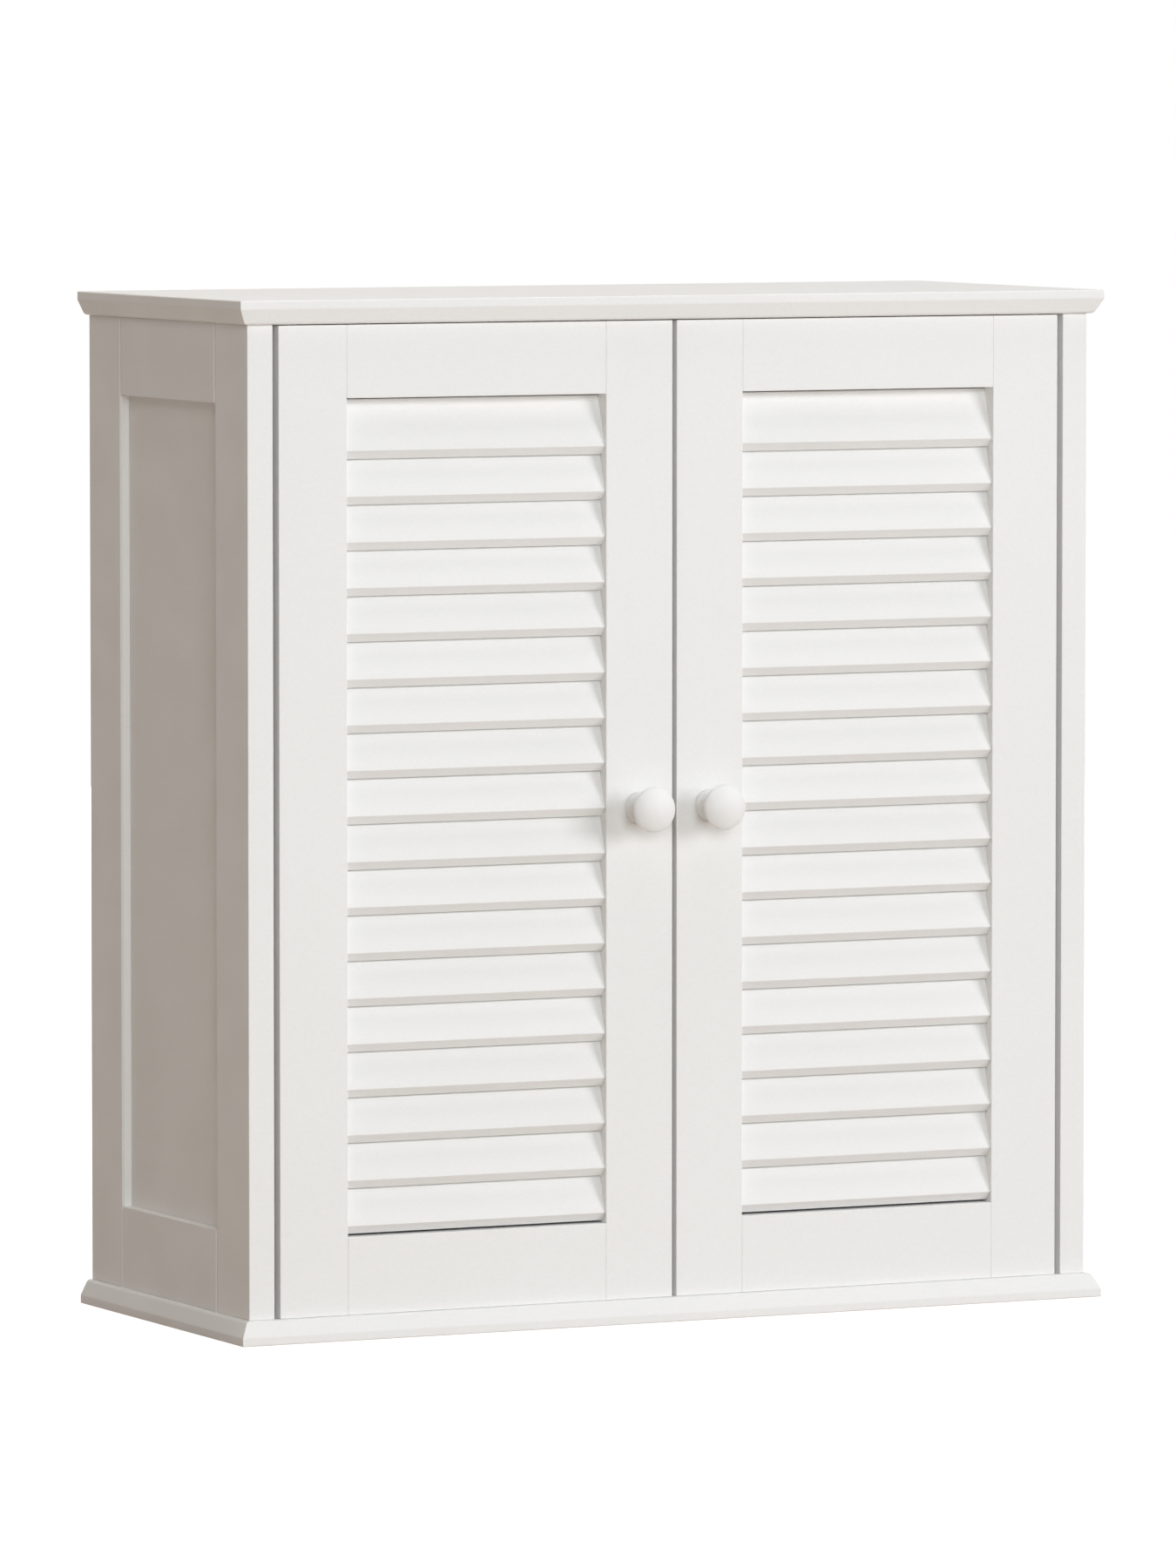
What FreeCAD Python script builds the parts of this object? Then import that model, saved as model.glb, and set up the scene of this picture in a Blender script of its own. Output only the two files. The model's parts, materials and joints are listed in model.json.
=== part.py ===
import FreeCAD, Part
import math
import os

from FreeCAD import Vector

# Louvred door cabinet: a painted carcass with framed sides between two chamfered boards,
# a back panel with a hanging rail, one shelf, and two inset louvred doors that turn on
# concealed pivot pins and close on magnetic catches.
# Lengths are millimetres, angles are degrees. X runs to the right, Y to the back, Z up.
# The origin is the middle of the bottom board's underside.

# Top and bottom boards
BOARD_WIDTH = 560.0
BOARD_DEPTH = 236.0
BOARD_THICKNESS = 14.0
BOARD_SQUARE_EDGE = 5.0
BOARD_CHAMFER_RUN = 4.6
BOARD_LIP_RADIUS = 3.0
BOARD_KNEE_RADIUS = 2.5
BOARD_EASE = 0.8
SIDE_OVERHANG = 7.5
FRONT_OVERHANG = 8.0

# Framed sides
CARCASS_HEIGHT = 572.0
SIDE_THICKNESS = 16.0
SIDE_STILE_WIDTH = 46.0
SIDE_TOP_RAIL_HEIGHT = 46.0
SIDE_BOTTOM_RAIL_HEIGHT = 48.0
PANEL_RECESS = 5.7
PANEL_THICKNESS = 6.0
GROOVE_DEPTH = 8.0
GROOVE_CLEARANCE = 0.1
GROOVE_END_GAP = 0.4
EDGE_EASE = 0.5
JOINT_BEVEL = 1.2

# Back panel and hanging rail
BACK_THICKNESS = 4.0
BACK_REBATE_WIDTH = 8.0
BACK_CLEARANCE = 0.3
HANGING_RAIL_HEIGHT = 60.0
HANGING_RAIL_THICKNESS = 16.0
WALL_HOLE_DIAMETER = 5.5
WALL_HOLE_SPACING = 400.0

# Shelf and its pins
SHELF_THICKNESS = 15.0
SHELF_SETBACK = 28.0
SHELF_END_CLEARANCE = 0.5
SHELF_BACK_CLEARANCE = 1.0
SHELF_PIN_DIAMETER = 5.0
SHELF_PIN_IN_SIDE = 8.0
SHELF_PIN_REACH = 8.0
SHELF_PIN_FROM_GROOVE = 4.0
SHELF_HOLE_PITCH = 32.0
SHELF_HOLES_EACH_WAY = 2

# Dowels and cam fittings that join the sides to the boards
DOWEL_DIAMETER = 8.0
DOWEL_IN_SIDE = 20.0
DOWEL_IN_BOARD = 9.0
DOWEL_INSET = 10.0
RAIL_DOWEL_IN_SIDE = 10.0
RAIL_DOWEL_IN_RAIL = 20.0
RAIL_DOWEL_SPACING = 13.0
RAIL_DOWEL_FROM_EDGE = 7.0
CAM_DIAMETER = 12.0
CAM_FROM_END = 28.0
CAM_TO_GROOVE = 5.0
CAM_WALL = 0.8
CAM_SLOT_DEPTH = 1.5
CAM_SLOT_WIDTH = 1.4
CAM_SLOT_LENGTH = 7.0
BOLT_THREAD_DIAMETER = 6.0
BOLT_IN_BOARD = 9.0
BOLT_NECK_DIAMETER = 4.0
BOLT_HEAD_DIAMETER = 6.4
BOLT_HEAD_LENGTH = 2.5
BOLT_CLEARANCE = 0.25
BOLT_BORE_DIAMETER = 7.0

# Louvred doors
DOOR_THICKNESS = 18.0
DOOR_SIDE_GAP = 3.6
DOOR_MIDDLE_GAP = 2.8
DOOR_TOP_GAP = 0.6
DOOR_BOTTOM_GAP = 0.15
DOOR_STILE_WIDTH = 43.0
DOOR_TOP_RAIL_HEIGHT = 42.3
DOOR_BOTTOM_RAIL_HEIGHT = 45.05
DOOR_DOWEL_DIAMETER = 6.0
DOOR_DOWEL_HALF = 15.0
DOOR_DOWEL_FROM_EDGE = 11.0

# Louvre slats
SLAT_TILT = 19.5
SLAT_THICKNESS = 6.7
SLAT_GAP = 2.0
SLAT_RISE = 29.4
SLAT_LIP_DROP = 5.4
SLAT_FRONT_SETBACK = 1.2
SLAT_BACK_SETBACK = 1.0
SLAT_TOP_GAP = 0.9
SLAT_BOTTOM_GAP = 0.3
SLAT_HOUSING = 6.0
SLAT_CLEARANCE = 0.15
SLAT_EASE = 0.5

# Pivot pins and flanged bushes
PIVOT_INSET = 10.5
PIVOT_DIAMETER = 5.0
PIVOT_IN_DOOR = 22.0
PIVOT_CLEARANCE = 0.05
PIVOT_END_GAP = 0.5
BUSH_DEPTH = 8.0
BUSH_DIAMETER = 8.0
BUSH_FLANGE_DIAMETER = 12.0
BUSH_FLANGE_THICKNESS = 1.2
BUSH_RUNNING_GAP = 0.1

# Knobs and their screws
KNOB_DIAMETER = 26.5
KNOB_FOOT_DIAMETER = 18.8
KNOB_FOOT_HEIGHT = 2.2
KNOB_NECK_DIAMETER = 14.0
KNOB_RIM_HEIGHT = 19.7
KNOB_RIM_RADIUS = 2.6
KNOB_DOME_RISE = 6.6
KNOB_BACK_DROP = 7.5
KNOB_ABOVE_MIDDLE = 2.0
KNOB_SCREW_DIAMETER = 4.0
KNOB_SCREW_GRIP = 10.0
KNOB_SCREW_HEAD_DIAMETER = 8.0
KNOB_SCREW_HEAD_HEIGHT = 2.4

# Magnetic catches and strike plates
CATCH_WIDTH = 20.0
CATCH_HEIGHT = 14.0
CATCH_DEPTH = 15.0
CATCH_EAR_LENGTH = 9.0
CATCH_EAR_THICKNESS = 4.0
CATCH_GAP = 0.3
MAGNET_WIDTH = 14.0
MAGNET_HEIGHT = 7.0
MAGNET_DEPTH = 11.0
MAGNET_PROUD = 0.6
STRIKE_WIDTH = 26.0
STRIKE_HEIGHT = 10.0
STRIKE_THICKNESS = 1.2

# Small countersunk screws
SCREW_DIAMETER = 3.0
SCREW_HEAD_DIAMETER = 6.0
SCREW_HEAD_HEIGHT = 1.8
SCREW_RECESS_WIDTH = 0.9
SCREW_RECESS_LENGTH = 3.6
SCREW_RECESS_DEPTH = 1.0
BACK_SCREW_LENGTH = 14.0
BACK_SCREWS_EACH_SIDE = 5
BACK_SCREW_END_MARGIN = 50.0
CATCH_SCREW_LENGTH = 12.0
STRIKE_SCREW_LENGTH = 10.0

# Fits of pieces that don't move in each other
PUSH_FIT = 0.02
HOLE_END_GAP = 0.5
CUT_MARGIN = 1.0

# Planes worked out from the driving sizes
carcass_low = BOARD_THICKNESS
carcass_high = BOARD_THICKNESS + CARCASS_HEIGHT
front = -BOARD_DEPTH / 2 + FRONT_OVERHANG
back = BOARD_DEPTH / 2
side_outer = BOARD_WIDTH / 2 - SIDE_OVERHANG
side_inner = side_outer - SIDE_THICKNESS
side_middle = (side_outer + side_inner) / 2
panel_outer = side_outer - PANEL_RECESS
panel_inner = panel_outer - PANEL_THICKNESS
back_face = back - BACK_THICKNESS
rebate_edge = side_inner + BACK_REBATE_WIDTH
hanging_rail_low = carcass_high - HANGING_RAIL_HEIGHT
hanging_rail_front = back_face - HANGING_RAIL_THICKNESS
shelf_low = (carcass_low + carcass_high - SHELF_THICKNESS) / 2
shelf_pin_height = shelf_low - SHELF_PIN_DIAMETER / 2
shelf_pin_inset = SIDE_STILE_WIDTH - GROOVE_DEPTH - SHELF_PIN_FROM_GROOVE
cam_inset = SIDE_STILE_WIDTH - GROOVE_DEPTH - CAM_TO_GROOVE - CAM_DIAMETER / 2
cam_depth = SIDE_THICKNESS / 2 + BOLT_HEAD_DIAMETER / 2 + BOLT_CLEARANCE + CAM_WALL

door_outer = side_inner - DOOR_SIDE_GAP
door_inner = DOOR_MIDDLE_GAP / 2
door_low = carcass_low + DOOR_BOTTOM_GAP
door_high = carcass_high - DOOR_TOP_GAP
door_back = front + DOOR_THICKNESS
door_middle = (front + door_back) / 2
opening_inner = door_inner + DOOR_STILE_WIDTH
opening_outer = door_outer - DOOR_STILE_WIDTH
opening_low = door_low + DOOR_BOTTOM_RAIL_HEIGHT
opening_high = door_high - DOOR_TOP_RAIL_HEIGHT
knob_x = (door_inner + opening_inner) / 2
knob_z = (door_low + door_high) / 2 + KNOB_ABOVE_MIDDLE
pivot_x = door_outer - PIVOT_INSET
bush_flange_proud = DOOR_BOTTOM_GAP - BUSH_RUNNING_GAP
bush_flange_recess = BUSH_FLANGE_THICKNESS - bush_flange_proud

lowest_lip = opening_low + SLAT_BOTTOM_GAP + SLAT_LIP_DROP
highest_lip = opening_high - SLAT_TOP_GAP - SLAT_RISE
closest_pitch = (SLAT_THICKNESS + SLAT_GAP) / math.sin(math.radians(SLAT_TILT))
slat_count = int((highest_lip - lowest_lip) / closest_pitch) + 1
slat_pitch = (highest_lip - lowest_lip) / (slat_count - 1)

catch_front = door_back + STRIKE_THICKNESS + CATCH_GAP
magnet_z = carcass_high - CATCH_HEIGHT / 2 - MAGNET_PROUD

ALONG_X = Vector(1, 0, 0)
ALONG_Y = Vector(0, 1, 0)
ALONG_Z = Vector(0, 0, 1)


# Shared shapes

def box(x0, x1, y0, y1, z0, z1):
    return Part.makeBox(x1 - x0, y1 - y0, z1 - z0, Vector(x0, y0, z0))


def eased_box(x0, x1, y0, y1, z0, z1):
    solid = box(x0, x1, y0, y1, z0, z1)
    return solid.makeFillet(EDGE_EASE, solid.Edges)


def rod(diameter, start, direction, length):
    return Part.makeCylinder(diameter / 2, length, start, direction)


def turned(shape, start, direction):
    """The shape moved from the origin to start, with its Z axis along direction."""
    placed = shape.copy()
    placed.Placement = FreeCAD.Placement(start, FreeCAD.Rotation(ALONG_Z, direction))
    return placed


def mirrored(shape):
    """The left-hand copy of a right-hand piece."""
    return shape.mirror(Vector(0, 0, 0), ALONG_X)


def both_sides(shapes):
    return shapes + [mirrored(shape) for shape in shapes]


def rounded_outline(corners, to_space):
    """Closed wire through corners (u, v, radius), each rounded by an arc of its radius."""
    turns = []
    for index, (u, v, radius) in enumerate(corners):
        corner = Vector(u, v, 0)
        next_corner = corners[(index + 1) % len(corners)]
        to_last = (Vector(*corners[index - 1][:2], 0) - corner).normalize()
        to_next = (Vector(*next_corner[:2], 0) - corner).normalize()
        half_angle = to_last.getAngle(to_next) / 2
        reach = radius / math.tan(half_angle)
        middle = corner + (to_last + to_next).normalize() * (radius / math.sin(half_angle) - radius)
        turns.append((corner + to_last * reach, middle, corner + to_next * reach, radius))
    edges = []
    for index, (start, middle, end, radius) in enumerate(turns):
        next_start = turns[(index + 1) % len(turns)][0]
        if radius > 0:
            arc = Part.Arc(to_space(start), to_space(middle), to_space(end))
            edges.append(arc.toShape())
        if end.distanceToPoint(next_start) > Part.Precision.confusion():
            edges.append(Part.LineSegment(to_space(end), to_space(next_start)).toShape())
    return Part.Wire(edges)


def dowel(diameter, start, direction, length):
    peg = rod(diameter, start, direction, length)
    ends = [edge for edge in peg.Edges if edge.isClosed()]
    return peg.makeChamfer(diameter / 10, ends)


def dowel_hole(diameter, start, direction, length):
    deep_start = start - direction * HOLE_END_GAP
    return rod(diameter + 2 * PUSH_FIT, deep_start, direction, length + 2 * HOLE_END_GAP)


def cross_recess(top):
    arm = box(-SCREW_RECESS_LENGTH / 2, SCREW_RECESS_LENGTH / 2, -SCREW_RECESS_WIDTH / 2,
              SCREW_RECESS_WIDTH / 2, top - SCREW_RECESS_DEPTH, top + CUT_MARGIN)
    other_arm = arm.copy()
    other_arm.rotate(Vector(0, 0, 0), ALONG_Z, 90)
    return arm.fuse(other_arm)


def countersunk_body(length, fit):
    """Screw outline with its head at the origin, pointing along -Z, larger all round by fit."""
    shank = rod(SCREW_DIAMETER + 2 * fit, Vector(0, 0, -length), ALONG_Z, length)
    head = Part.makeCone(SCREW_DIAMETER / 2 + fit, SCREW_HEAD_DIAMETER / 2 + fit, SCREW_HEAD_HEIGHT,
                         Vector(0, 0, -SCREW_HEAD_HEIGHT), ALONG_Z)
    return shank.fuse(head)


def countersunk_screw(length):
    return countersunk_body(length, 0).cut(cross_recess(0))


def countersunk_hole(length):
    mouth = rod(SCREW_HEAD_DIAMETER + 2 * PUSH_FIT, Vector(0, 0, 0), ALONG_Z, CUT_MARGIN)
    return countersunk_body(length + HOLE_END_GAP, PUSH_FIT).fuse(mouth)


# Where the fittings of the right-hand side stand

def side_ends():
    """Foot and head of a side: the height of the joint and the way into the board."""
    return [(carcass_low, -ALONG_Z), (carcass_high, ALONG_Z)]


def side_dowel_starts():
    """Start and direction of each dowel between the right side and the boards."""
    places = []
    for height, outward in side_ends():
        for y in (front + DOWEL_INSET, back - DOWEL_INSET):
            places.append((Vector(side_middle, y, height) - outward * DOWEL_IN_SIDE, outward))
    return places


def cam_centres():
    """Centre of each cam disc on the bolt's line, with the way into the board."""
    places = []
    for height, outward in side_ends():
        for y in (front + cam_inset, back - cam_inset):
            places.append((Vector(side_middle, y, height) - outward * CAM_FROM_END, outward))
    return places


def rail_dowel_starts():
    """Start of each dowel between the hanging rail and the right side."""
    y = (hanging_rail_front + back_face) / 2
    heights = [hanging_rail_low + RAIL_DOWEL_FROM_EDGE + step * RAIL_DOWEL_SPACING for step in (0, 1)]
    return [Vector(side_inner - RAIL_DOWEL_IN_RAIL, y, height) for height in heights]


def back_screw_heads():
    """Head of each screw that holds the back panel in the right side's rebate."""
    low = carcass_low + BACK_SCREW_END_MARGIN
    high = hanging_rail_low - BACK_SCREW_END_MARGIN / 2
    step = (high - low) / (BACK_SCREWS_EACH_SIDE - 1)
    x = (side_inner + rebate_edge) / 2
    return [Vector(x, back, low + index * step) for index in range(BACK_SCREWS_EACH_SIDE)]


def catch_screw_heads():
    """Head of each screw in the ears of the right-hand catch."""
    reach = CATCH_WIDTH / 2 + CATCH_EAR_LENGTH / 2
    y = catch_front + MAGNET_PROUD + CATCH_DEPTH / 2
    height = carcass_high - CATCH_EAR_THICKNESS
    return [Vector(knob_x - reach, y, height), Vector(knob_x + reach, y, height)]


# Pieces of the cabinet's body

def side_dowels():
    length = DOWEL_IN_SIDE + DOWEL_IN_BOARD
    return [dowel(DOWEL_DIAMETER, start, outward, length) for start, outward in side_dowel_starts()]


def side_dowel_holes():
    length = DOWEL_IN_SIDE + DOWEL_IN_BOARD
    return [dowel_hole(DOWEL_DIAMETER, start, outward, length) for start, outward in side_dowel_starts()]


def rail_dowels():
    length = RAIL_DOWEL_IN_RAIL + RAIL_DOWEL_IN_SIDE
    return [dowel(DOWEL_DIAMETER, start, ALONG_X, length) for start in rail_dowel_starts()]


def rail_dowel_holes():
    length = RAIL_DOWEL_IN_RAIL + RAIL_DOWEL_IN_SIDE
    return [dowel_hole(DOWEL_DIAMETER, start, ALONG_X, length) for start in rail_dowel_starts()]


def cam_bolts():
    bolts = []
    for centre, outward in cam_centres():
        head = rod(BOLT_HEAD_DIAMETER, centre - outward * (BOLT_HEAD_LENGTH / 2), outward, BOLT_HEAD_LENGTH)
        neck = rod(BOLT_NECK_DIAMETER, centre, outward, CAM_FROM_END)
        thread = rod(BOLT_THREAD_DIAMETER, centre + outward * CAM_FROM_END, outward, BOLT_IN_BOARD)
        bolts.append(head.fuse([neck, thread]))
    return bolts


def cam_bolt_holes():
    holes = []
    for centre, outward in cam_centres():
        seat = centre + outward * CAM_FROM_END
        holes.append(rod(BOLT_BORE_DIAMETER, centre, outward, CAM_FROM_END))
        holes.append(rod(BOLT_THREAD_DIAMETER + 2 * PUSH_FIT, seat, outward, BOLT_IN_BOARD + HOLE_END_GAP))
    return holes


def cam_discs():
    """Discs let into the side's inner face, each hollow where it grips its bolt's head."""
    discs = []
    for centre, outward in cam_centres():
        face = Vector(side_inner, centre.y, centre.z)
        disc = rod(CAM_DIAMETER, face, ALONG_X, cam_depth)
        chamber_length = BOLT_HEAD_LENGTH + 2 * BOLT_CLEARANCE
        chamber = rod(BOLT_HEAD_DIAMETER + 2 * BOLT_CLEARANCE,
                      centre - outward * (chamber_length / 2), outward, chamber_length)
        channel = rod(BOLT_NECK_DIAMETER + 2 * BOLT_CLEARANCE, centre, outward, CAM_DIAMETER)
        slot = box(side_inner - CUT_MARGIN, side_inner + CAM_SLOT_DEPTH,
                   centre.y - CAM_SLOT_LENGTH / 2, centre.y + CAM_SLOT_LENGTH / 2,
                   centre.z - CAM_SLOT_WIDTH / 2, centre.z + CAM_SLOT_WIDTH / 2)
        discs.append(disc.cut([chamber, channel, slot]))
    return discs


def cam_disc_holes():
    diameter = CAM_DIAMETER + 2 * PUSH_FIT
    faces = [Vector(side_inner - CUT_MARGIN, centre.y, centre.z) for centre, outward in cam_centres()]
    return [rod(diameter, face, ALONG_X, cam_depth + CUT_MARGIN) for face in faces]


def side_joint_holes():
    return side_dowel_holes() + cam_bolt_holes() + cam_disc_holes()


def shelf_pin_places(steps):
    """Points on the right side's inner face, that many holes above and below the shelf's own."""
    rows = (front + shelf_pin_inset, back - shelf_pin_inset)
    heights = [shelf_pin_height + step * SHELF_HOLE_PITCH for step in range(-steps, steps + 1)]
    return [Vector(side_inner, y, height) for y in rows for height in heights]


def shelf_pins():
    length = SHELF_PIN_IN_SIDE + SHELF_PIN_REACH
    starts = [place - ALONG_X * SHELF_PIN_REACH for place in shelf_pin_places(0)]
    return [dowel(SHELF_PIN_DIAMETER, start, ALONG_X, length) for start in starts]


def shelf_pin_holes():
    diameter = SHELF_PIN_DIAMETER + 2 * PUSH_FIT
    depth = CUT_MARGIN + SHELF_PIN_IN_SIDE + HOLE_END_GAP
    starts = [place - ALONG_X * CUT_MARGIN for place in shelf_pin_places(SHELF_HOLES_EACH_WAY)]
    return [rod(diameter, start, ALONG_X, depth) for start in starts]


def side_groove(y0, y1, z0, z1):
    return box(panel_inner - GROOVE_CLEARANCE, panel_outer + GROOVE_CLEARANCE, y0, y1, z0, z1)


def joint_groove(y):
    """V groove in the right side's outer face, where a stile meets its rails and panel."""
    mouth = JOINT_BEVEL + CUT_MARGIN
    points = [Vector(side_outer - JOINT_BEVEL, y, carcass_low),
              Vector(side_outer + CUT_MARGIN, y - mouth, carcass_low),
              Vector(side_outer + CUT_MARGIN, y + mouth, carcass_low)]
    return Part.Face(Part.makePolygon(points + points[:1])).extrude(ALONG_Z * CARCASS_HEIGHT)


def side_front_stile():
    edge = front + SIDE_STILE_WIDTH
    stile = eased_box(side_inner, side_outer, front, edge, carcass_low, carcass_high)
    groove = side_groove(edge - GROOVE_DEPTH, edge + CUT_MARGIN, carcass_low, carcass_high)
    return stile.cut([groove, joint_groove(edge)] + side_joint_holes() + shelf_pin_holes())


def side_rear_stile():
    edge = back - SIDE_STILE_WIDTH
    stile = eased_box(side_inner, side_outer, edge, back, carcass_low, carcass_high)
    groove = side_groove(edge - CUT_MARGIN, edge + GROOVE_DEPTH, carcass_low, carcass_high)
    rebate = box(side_inner - CUT_MARGIN, rebate_edge, back_face, back + CUT_MARGIN,
                 carcass_low, carcass_high)
    holes = side_joint_holes() + shelf_pin_holes() + rail_dowel_holes() + back_screw_holes()
    return stile.cut([groove, rebate, joint_groove(edge)] + holes)


def side_rail(low, high, panel_edge, tenon_low, tenon_high):
    """Rail with stub tenons in the stiles' grooves, and its own groove along panel_edge."""
    y0 = front + SIDE_STILE_WIDTH
    y1 = back - SIDE_STILE_WIDTH
    tenon_length = GROOVE_DEPTH - GROOVE_END_GAP
    rail = eased_box(side_inner, side_outer, y0, y1, low, high)
    tenons = box(panel_inner, panel_outer, y0 - tenon_length, y1 + tenon_length, tenon_low, tenon_high)
    groove = side_groove(y0 - CUT_MARGIN, y1 + CUT_MARGIN,
                         panel_edge - GROOVE_DEPTH, panel_edge + GROOVE_DEPTH)
    return rail.cut([groove, joint_groove(y0), joint_groove(y1)]).fuse(tenons)


def side_top_rail():
    low = carcass_high - SIDE_TOP_RAIL_HEIGHT
    return side_rail(low, carcass_high, low, low + GROOVE_DEPTH, carcass_high - EDGE_EASE)


def side_bottom_rail():
    high = carcass_low + SIDE_BOTTOM_RAIL_HEIGHT
    return side_rail(carcass_low, high, high, carcass_low + EDGE_EASE, high - GROOVE_DEPTH)


def side_panel():
    hold = GROOVE_DEPTH - GROOVE_END_GAP
    return box(panel_inner, panel_outer, front + SIDE_STILE_WIDTH - hold, back - SIDE_STILE_WIDTH + hold,
               carcass_low + SIDE_BOTTOM_RAIL_HEIGHT - hold, carcass_high - SIDE_TOP_RAIL_HEIGHT + hold)


def board_blank():
    """Board with its chamfered front and ends, lying on the carcass at Z = 0 with its back edge square."""
    knee = BOARD_THICKNESS - BOARD_SQUARE_EDGE
    end = BOARD_WIDTH / 2
    nose = -BOARD_DEPTH / 2
    across = [(nose + BOARD_CHAMFER_RUN, 0, BOARD_LIP_RADIUS), (back, 0, 0), (back, BOARD_THICKNESS, 0),
              (nose, BOARD_THICKNESS, BOARD_EASE), (nose, knee, BOARD_KNEE_RADIUS)]
    right_end = [(end - BOARD_CHAMFER_RUN, 0, BOARD_LIP_RADIUS), (end, knee, BOARD_KNEE_RADIUS),
                 (end, BOARD_THICKNESS, BOARD_EASE)]
    left_end = [(-u, v, radius) for u, v, radius in reversed(right_end)]
    front_section = rounded_outline(across, lambda point: Vector(-end, point.x, point.y))
    end_section = rounded_outline(right_end + left_end, lambda point: Vector(point.x, nose, point.y))
    lengthwise = Part.Face(front_section).extrude(ALONG_X * BOARD_WIDTH)
    crosswise = Part.Face(end_section).extrude(ALONG_Y * BOARD_DEPTH)
    return lengthwise.common(crosswise)


def board_holes():
    return both_sides(side_dowel_holes() + cam_bolt_holes() + bush_holes())


def top_board():
    board = board_blank()
    board.translate(ALONG_Z * carcass_high)
    return board.cut(board_holes() + both_sides(catch_screw_holes()))


def bottom_board():
    board = board_blank().mirror(Vector(0, 0, 0), ALONG_Z)
    board.translate(ALONG_Z * carcass_low)
    return board.cut(board_holes())


def wall_holes():
    height = (hanging_rail_low + carcass_high) / 2
    length = back - hanging_rail_front + 2 * CUT_MARGIN
    start = Vector(WALL_HOLE_SPACING / 2, hanging_rail_front - CUT_MARGIN, height)
    return both_sides([rod(WALL_HOLE_DIAMETER, start, ALONG_Y, length)])


def hanging_rail():
    rail = eased_box(-side_inner, side_inner, hanging_rail_front, back_face, hanging_rail_low, carcass_high)
    return rail.cut(both_sides(rail_dowel_holes()) + wall_holes())


def back_panel():
    edge = rebate_edge - BACK_CLEARANCE
    panel = box(-edge, edge, back_face, back, carcass_low, carcass_high)
    return panel.cut(both_sides(back_screw_holes()) + wall_holes())


def back_screws():
    screw = countersunk_screw(BACK_SCREW_LENGTH)
    return [turned(screw, head, ALONG_Y) for head in back_screw_heads()]


def back_screw_holes():
    hole = countersunk_hole(BACK_SCREW_LENGTH)
    return [turned(hole, head, ALONG_Y) for head in back_screw_heads()]


def shelf():
    end = side_inner - SHELF_END_CLEARANCE
    return eased_box(-end, end, front + SHELF_SETBACK, back_face - SHELF_BACK_CLEARANCE,
                     shelf_low, shelf_low + SHELF_THICKNESS)


def bush_places():
    """Board surface at each end of the right door's pivot line, with the way into the board."""
    return [(Vector(pivot_x, door_middle, height), outward) for height, outward in side_ends()]


def pivot_bushes():
    bushes = []
    for place, outward in bush_places():
        rim = place - outward * bush_flange_proud
        flange = rod(BUSH_FLANGE_DIAMETER, rim, outward, BUSH_FLANGE_THICKNESS)
        sleeve = rod(BUSH_DIAMETER, place, outward, BUSH_DEPTH)
        bore_length = bush_flange_proud + BUSH_DEPTH + 2 * CUT_MARGIN
        bore = rod(PIVOT_DIAMETER + 2 * PIVOT_CLEARANCE, rim - outward * CUT_MARGIN, outward, bore_length)
        bushes.append(flange.fuse(sleeve).cut(bore))
    return bushes


def bush_holes():
    holes = []
    for place, outward in bush_places():
        holes.append(rod(BUSH_DIAMETER + 2 * PUSH_FIT, place, outward, BUSH_DEPTH + PUSH_FIT))
        holes.append(rod(BUSH_FLANGE_DIAMETER + 2 * PUSH_FIT, place - outward * CUT_MARGIN, outward,
                         CUT_MARGIN + bush_flange_recess))
    return holes


def catch_housing():
    y0 = catch_front + MAGNET_PROUD
    y1 = y0 + CATCH_DEPTH
    half = CATCH_WIDTH / 2
    reach = half + CATCH_EAR_LENGTH
    block_low = carcass_high - CATCH_HEIGHT
    ears_low = carcass_high - CATCH_EAR_THICKNESS
    block = eased_box(knob_x - half, knob_x + half, y0, y1, block_low, carcass_high)
    ears = eased_box(knob_x - reach, knob_x + reach, y0, y1, ears_low, carcass_high)
    pocket = magnet_block(PUSH_FIT)
    return block.fuse(ears).cut([pocket] + catch_screw_holes())


def magnet_block(fit):
    half = MAGNET_WIDTH / 2 + fit
    tall = MAGNET_HEIGHT / 2 + fit
    return box(knob_x - half, knob_x + half, catch_front, catch_front + MAGNET_DEPTH + fit,
               magnet_z - tall, magnet_z + tall)


def catch_screws():
    screw = countersunk_screw(CATCH_SCREW_LENGTH)
    return [turned(screw, head, -ALONG_Z) for head in catch_screw_heads()]


def catch_screw_holes():
    hole = countersunk_hole(CATCH_SCREW_LENGTH)
    return [turned(hole, head, -ALONG_Z) for head in catch_screw_heads()]


# Pieces of the right-hand door

def slat_section():
    """Slat seen from the door's edge: leaning back to its top, with a bevelled lip at its foot."""
    tilt = math.radians(SLAT_TILT)
    lean = math.tan(tilt)
    face_foot = front + SLAT_FRONT_SETBACK
    rear_foot = face_foot + SLAT_THICKNESS / math.cos(tilt)
    points = [Vector(0, face_foot, 0),
              Vector(0, rear_foot - SLAT_LIP_DROP * lean, -SLAT_LIP_DROP),
              Vector(0, rear_foot + SLAT_RISE * lean, SLAT_RISE),
              Vector(0, face_foot + SLAT_RISE * lean, SLAT_RISE)]
    leaning = Part.Face(Part.makePolygon(points + points[:1]))
    door_space = box(-CUT_MARGIN, CUT_MARGIN, front, door_back - SLAT_BACK_SETBACK,
                     -SLAT_LIP_DROP - CUT_MARGIN, SLAT_RISE + CUT_MARGIN)
    return leaning.common(door_space).Faces[0]


def slat_heights():
    return [lowest_lip + index * slat_pitch for index in range(slat_count)]


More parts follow.
